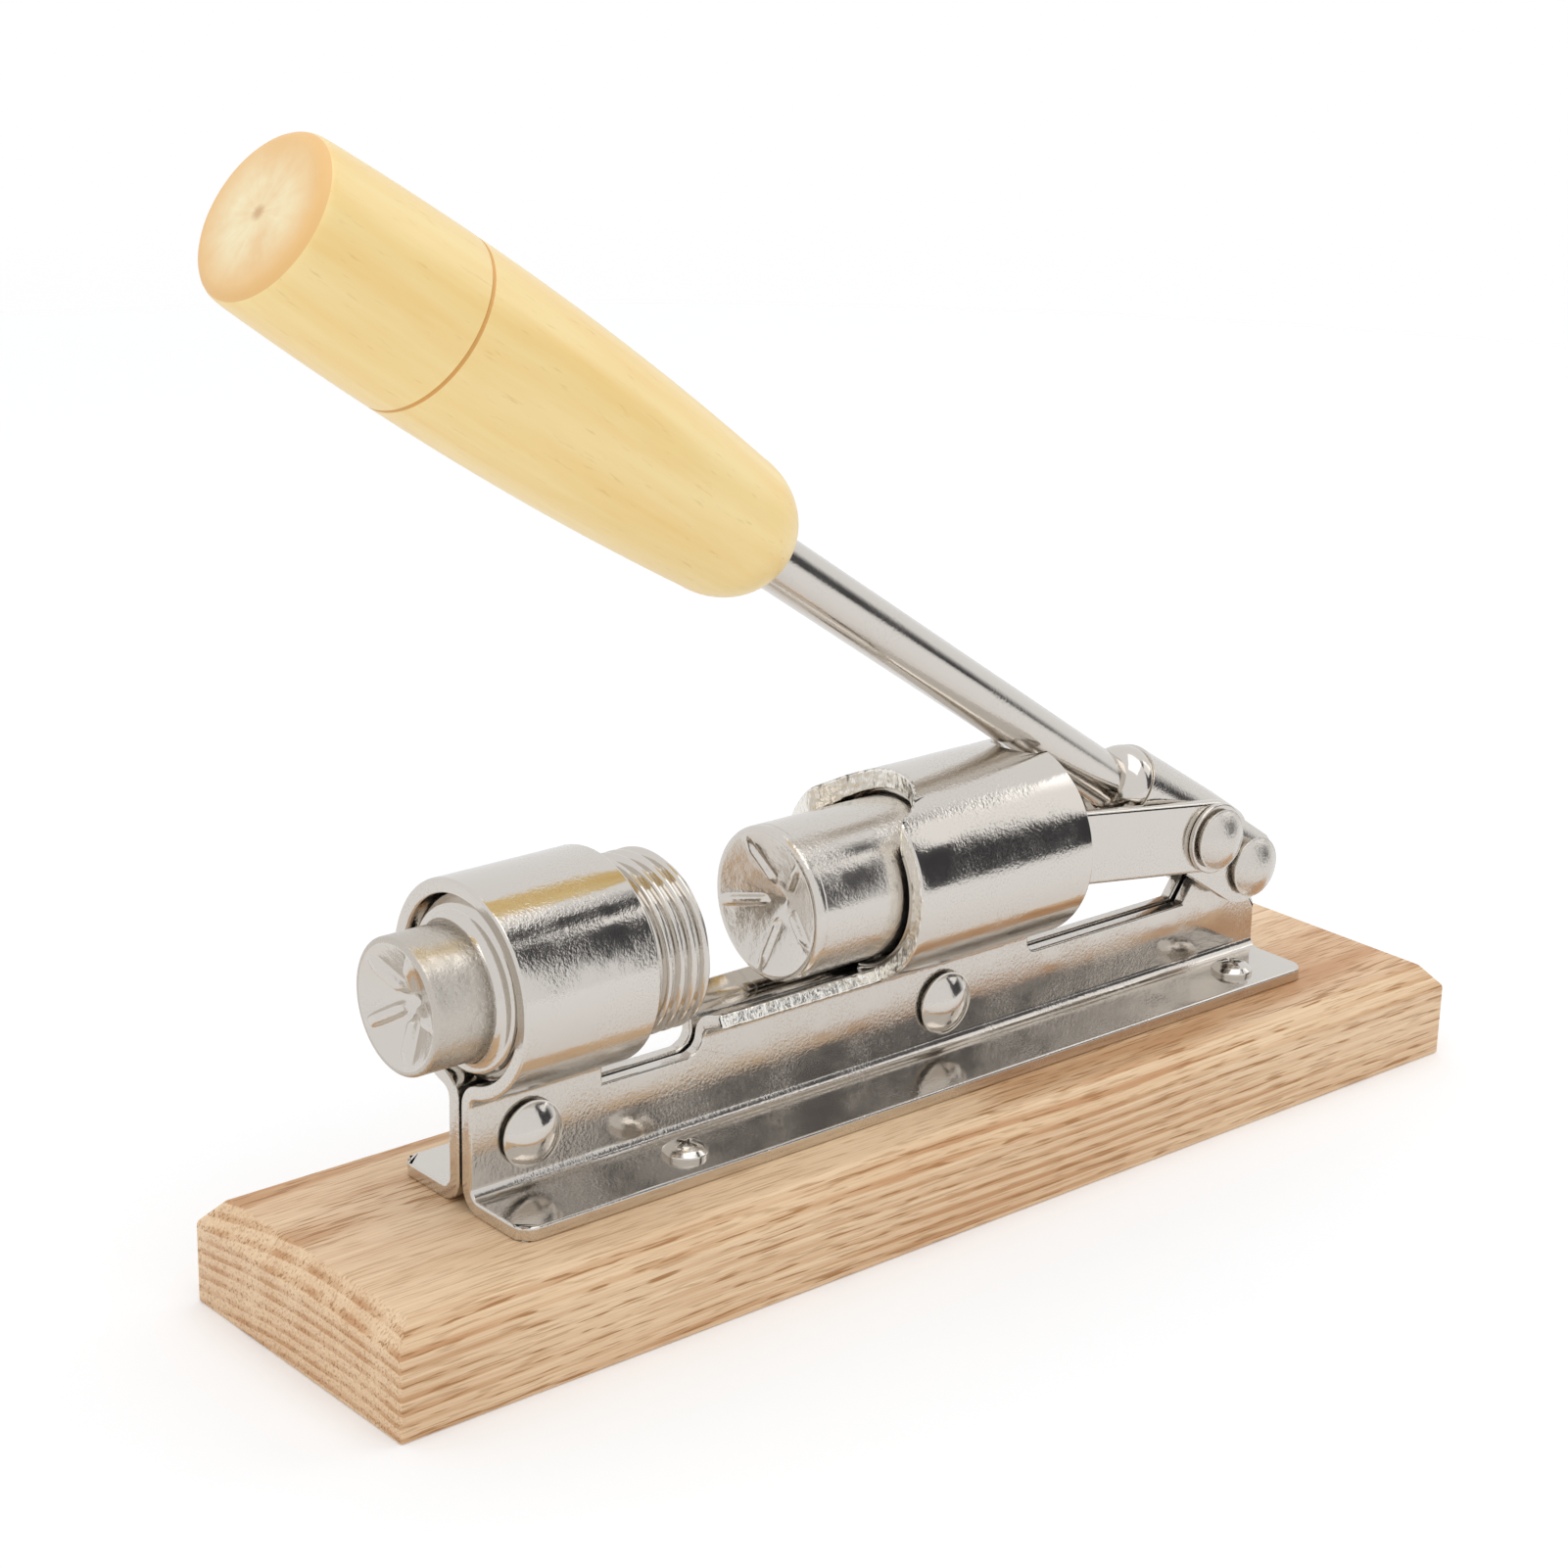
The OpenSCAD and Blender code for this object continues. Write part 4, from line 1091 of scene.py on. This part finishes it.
def light_room(tree):
    """Pale room with one dark patch, which the plate shows as dark bands. The patch ends
    between two bearings, under a height, and at a low edge that leans with X."""
    tree.nodes.clear()
    place = add_node(tree, "TexCoord").outputs["Generated"]
    split = add_node(tree, "SeparateXYZ", {"Vector": place})
    rise = add_node(tree, "Math", {0: split.outputs["Z"]}, operation="ARCSINE")
    bearing = add_node(tree, "Math", {0: split.outputs["Y"], 1: split.outputs["X"]},
                       operation="ARCTAN2")
    lean = add_node(tree, "Math", {0: split.outputs["X"], 1: 6.67, 2: rise},
                    operation="MULTIPLY_ADD")
    shares = []
    for above, below, low, high, soft in ((lean, rise, 231, 70, 5),
                                          (bearing, bearing, -72, -18, 9)):
        up, down = [add_node(tree, "MapRange", {
            "Value": value, "From Min": math.radians(first), "From Max": math.radians(last)},
            interpolation_type="SMOOTHSTEP")
            for value, first, last in ((above, low - soft, low + soft),
                                       (below, high + soft, high - soft))]
        shares.append(add_node(tree, "Math", {0: up, 1: down},
                               operation="MULTIPLY"))
    dark = add_node(tree, "Math", {0: shares[0], 1: shares[1]},
                    operation="MULTIPLY")
    colour = add_node(tree, "Mix", {
        0: dark, 6: linear("#F2F3F5"), 7: linear("#3A3A3E")}, data_type="RGBA")
    seen = add_node(tree, "LightPath").outputs["Is Camera Ray"]
    room, backdrop = [add_node(tree, "Background", {"Color": value})
                      for value in (colour, (1, 1, 1, 1))]
    picked = add_node(tree, "MixShader", {0: seen, 1: room, 2: backdrop})
    add_node(tree, "OutputWorld", {"Surface": picked})


def build_stage():
    """Pale floor that fades out, soft studio light and the camera."""
    scene = bpy.context.scene
    bm = bmesh.new()
    bmesh.ops.create_circle(bm, cap_ends=True, segments=96, radius=1.6)
    to_object(bm, "floor", ["studio paper"])

    scene.world = bpy.data.worlds.new("studio")
    scene.world.use_nodes = True
    light_room(scene.world.node_tree)

    for name, centre, size, power in (("softbox_top", (0.1, -0.2, 1.5), 1.2, 4.4),
                                      ("softbox_right", (1.2, -0.6, 0.9), 0.8, 2)):
        light = bpy.data.lights.new(name, "AREA")
        light.shape = "SQUARE"
        light.size = size
        light.energy = power
        lamp = bpy.data.objects.new(name, light)
        lamp.location = centre
        lamp.rotation_mode = "QUATERNION"
        aim = Vector((0, 0, 0.06)) - Vector(centre)
        lamp.rotation_quaternion = aim.to_track_quat("-Z", "Y")
        scene.collection.objects.link(lamp)

    camera = bpy.data.cameras.new("camera")
    camera.sensor_width = 36
    camera.lens = 73.13
    camera.clip_start = 0.01
    eye = bpy.data.objects.new("camera", camera)
    eye.location = (-0.36385, -0.39114, 0.25141)
    eye.rotation_euler = [math.radians(a) for a in (71.5515, -1.34497, -40.4563)]
    scene.collection.objects.link(eye)
    scene.camera = eye
    scene.view_settings.view_transform = "Standard"


class NutcrackerSizes(bpy.types.PropertyGroup):
    """Sizes that only the looks use."""
    board_ease: bpy.props.FloatProperty(
        name="Board ease", description="Rounding of the board's sanded edges",
        default=0.0005, min=0.0001, max=0.002, unit="LENGTH")
    edge_round: bpy.props.FloatProperty(
        name="Edge rounding", description="Rounding of the tumbled sheet's edges",
        default=0.0005, min=0.0001, max=0.001, unit="LENGTH")
    thread_pitch: bpy.props.FloatProperty(
        name="Thread pitch", description="Pitch of the anvil's thread",
        default=0.0026, min=0.002, max=0.005, unit="LENGTH")


class NutcrackerColours(bpy.types.PropertyGroup):
    """Finish colours as sRGB hex text."""
    nickel: bpy.props.StringProperty(
        name="Nickel", description="Nickel plate", default="#D9D3CB")
    casting: bpy.props.StringProperty(
        name="Casting", description="Plated castings", default="#C9C2B8")
    oak_light: bpy.props.StringProperty(
        name="Oak, light", description="Late wood of the board", default="#F3D6B0")
    oak_dark: bpy.props.StringProperty(
        name="Oak, dark", description="Early wood of the board", default="#CA996C")
    oak_pore: bpy.props.StringProperty(
        name="Oak, pores", description="Pores of the board", default="#AE7C4A")
    handle_light: bpy.props.StringProperty(
        name="Handle, light", description="Varnished handle", default="#FFE5A4")
    handle_dark: bpy.props.StringProperty(
        name="Handle, dark", description="Grain of the handle", default="#FAD68A")
    handle_fleck: bpy.props.StringProperty(
        name="Handle, flecks", description="Small flecks in the handle", default="#D9A85A")
    groove: bpy.props.StringProperty(
        name="Groove", description="Darker brown line in the groove round the handle", default="#E6A854")


class PieceOperator:
    """What every operator here shares; each names its own builder."""
    bl_options = {"REGISTER", "UNDO"}

    def execute(self, context):
        type(self).builder()
        return {"FINISHED"}


class NUT_OT_board(PieceOperator, bpy.types.Operator):
    """Adds the bevelled oak board"""
    bl_idname = "nutcracker.board"
    bl_label = "Board"
    builder = staticmethod(build_board)


class NUT_OT_frame(PieceOperator, bpy.types.Operator):
    """Adds the bent sheet frame"""
    bl_idname = "nutcracker.frame"
    bl_label = "Frame"
    builder = staticmethod(build_frame)


class NUT_OT_anvil(PieceOperator, bpy.types.Operator):
    """Adds the threaded anvil"""
    bl_idname = "nutcracker.anvil"
    bl_label = "Anvil"
    builder = staticmethod(build_anvil)


class NUT_OT_ram(PieceOperator, bpy.types.Operator):
    """Adds the ram, its tongue and its pin"""
    bl_idname = "nutcracker.ram"
    bl_label = "Ram"
    builder = staticmethod(build_ram)


class NUT_OT_links(PieceOperator, bpy.types.Operator):
    """Adds the two links"""
    bl_idname = "nutcracker.links"
    bl_label = "Links"
    builder = staticmethod(build_links)


class NUT_OT_yoke(PieceOperator, bpy.types.Operator):
    """Adds the lever's yoke"""
    bl_idname = "nutcracker.yoke"
    bl_label = "Yoke"
    builder = staticmethod(build_yoke)


class NUT_OT_rod(PieceOperator, bpy.types.Operator):
    """Adds the rod and its collar"""
    bl_idname = "nutcracker.rod"
    bl_label = "Rod and collar"
    builder = staticmethod(build_rod)


class NUT_OT_handle(PieceOperator, bpy.types.Operator):
    """Adds the turned handle"""
    bl_idname = "nutcracker.handle"
    bl_label = "Handle"
    builder = staticmethod(build_handle)


class NUT_OT_rivets(PieceOperator, bpy.types.Operator):
    """Adds the domed rivets"""
    bl_idname = "nutcracker.rivets"
    bl_label = "Rivets"
    builder = staticmethod(build_rivets)


class NUT_OT_washers(PieceOperator, bpy.types.Operator):
    """Adds the washers and spacers"""
    bl_idname = "nutcracker.washers"
    bl_label = "Washers"
    builder = staticmethod(build_washers)


class NUT_OT_screws(PieceOperator, bpy.types.Operator):
    """Adds the pan head screws"""
    bl_idname = "nutcracker.screws"
    bl_label = "Screws"
    builder = staticmethod(build_screws)


class NUT_OT_stage(PieceOperator, bpy.types.Operator):
    """Adds the floor, the light and the camera"""
    bl_idname = "nutcracker.stage"
    bl_label = "Stage"
    builder = staticmethod(build_stage)


OPERATORS = (NUT_OT_board, NUT_OT_frame, NUT_OT_anvil, NUT_OT_ram, NUT_OT_links, NUT_OT_yoke,
             NUT_OT_rod, NUT_OT_handle, NUT_OT_rivets, NUT_OT_washers, NUT_OT_screws,
             NUT_OT_stage)


class NUT_PT_panel(bpy.types.Panel):
    """Lists the nutcracker's pieces and their sizes"""
    bl_label = "Nutcracker"
    bl_idname = "NUT_PT_panel"
    bl_space_type = "VIEW_3D"
    bl_region_type = "UI"
    bl_category = "Nutcracker"

    def draw(self, context):
        for group in (context.scene.nutcracker_sizes, context.scene.nutcracker_colours):
            for key in group.__annotations__:
                self.layout.prop(group, key)
        for operator in OPERATORS:
            self.layout.operator(operator.bl_idname)


CLASSES = (NutcrackerSizes, NutcrackerColours, *OPERATORS, NUT_PT_panel)


def register():
    for item in CLASSES:
        bpy.utils.register_class(item)
    bpy.types.Scene.nutcracker_sizes = bpy.props.PointerProperty(type=NutcrackerSizes)
    bpy.types.Scene.nutcracker_colours = bpy.props.PointerProperty(type=NutcrackerColours)


def unregister():
    del bpy.types.Scene.nutcracker_colours
    del bpy.types.Scene.nutcracker_sizes
    for item in reversed(CLASSES):
        bpy.utils.unregister_class(item)


def main():
    register()
    for operator in OPERATORS:
        getattr(bpy.ops.nutcracker, operator.bl_idname.split(".")[1])()


if __name__ == "__main__":
    main()
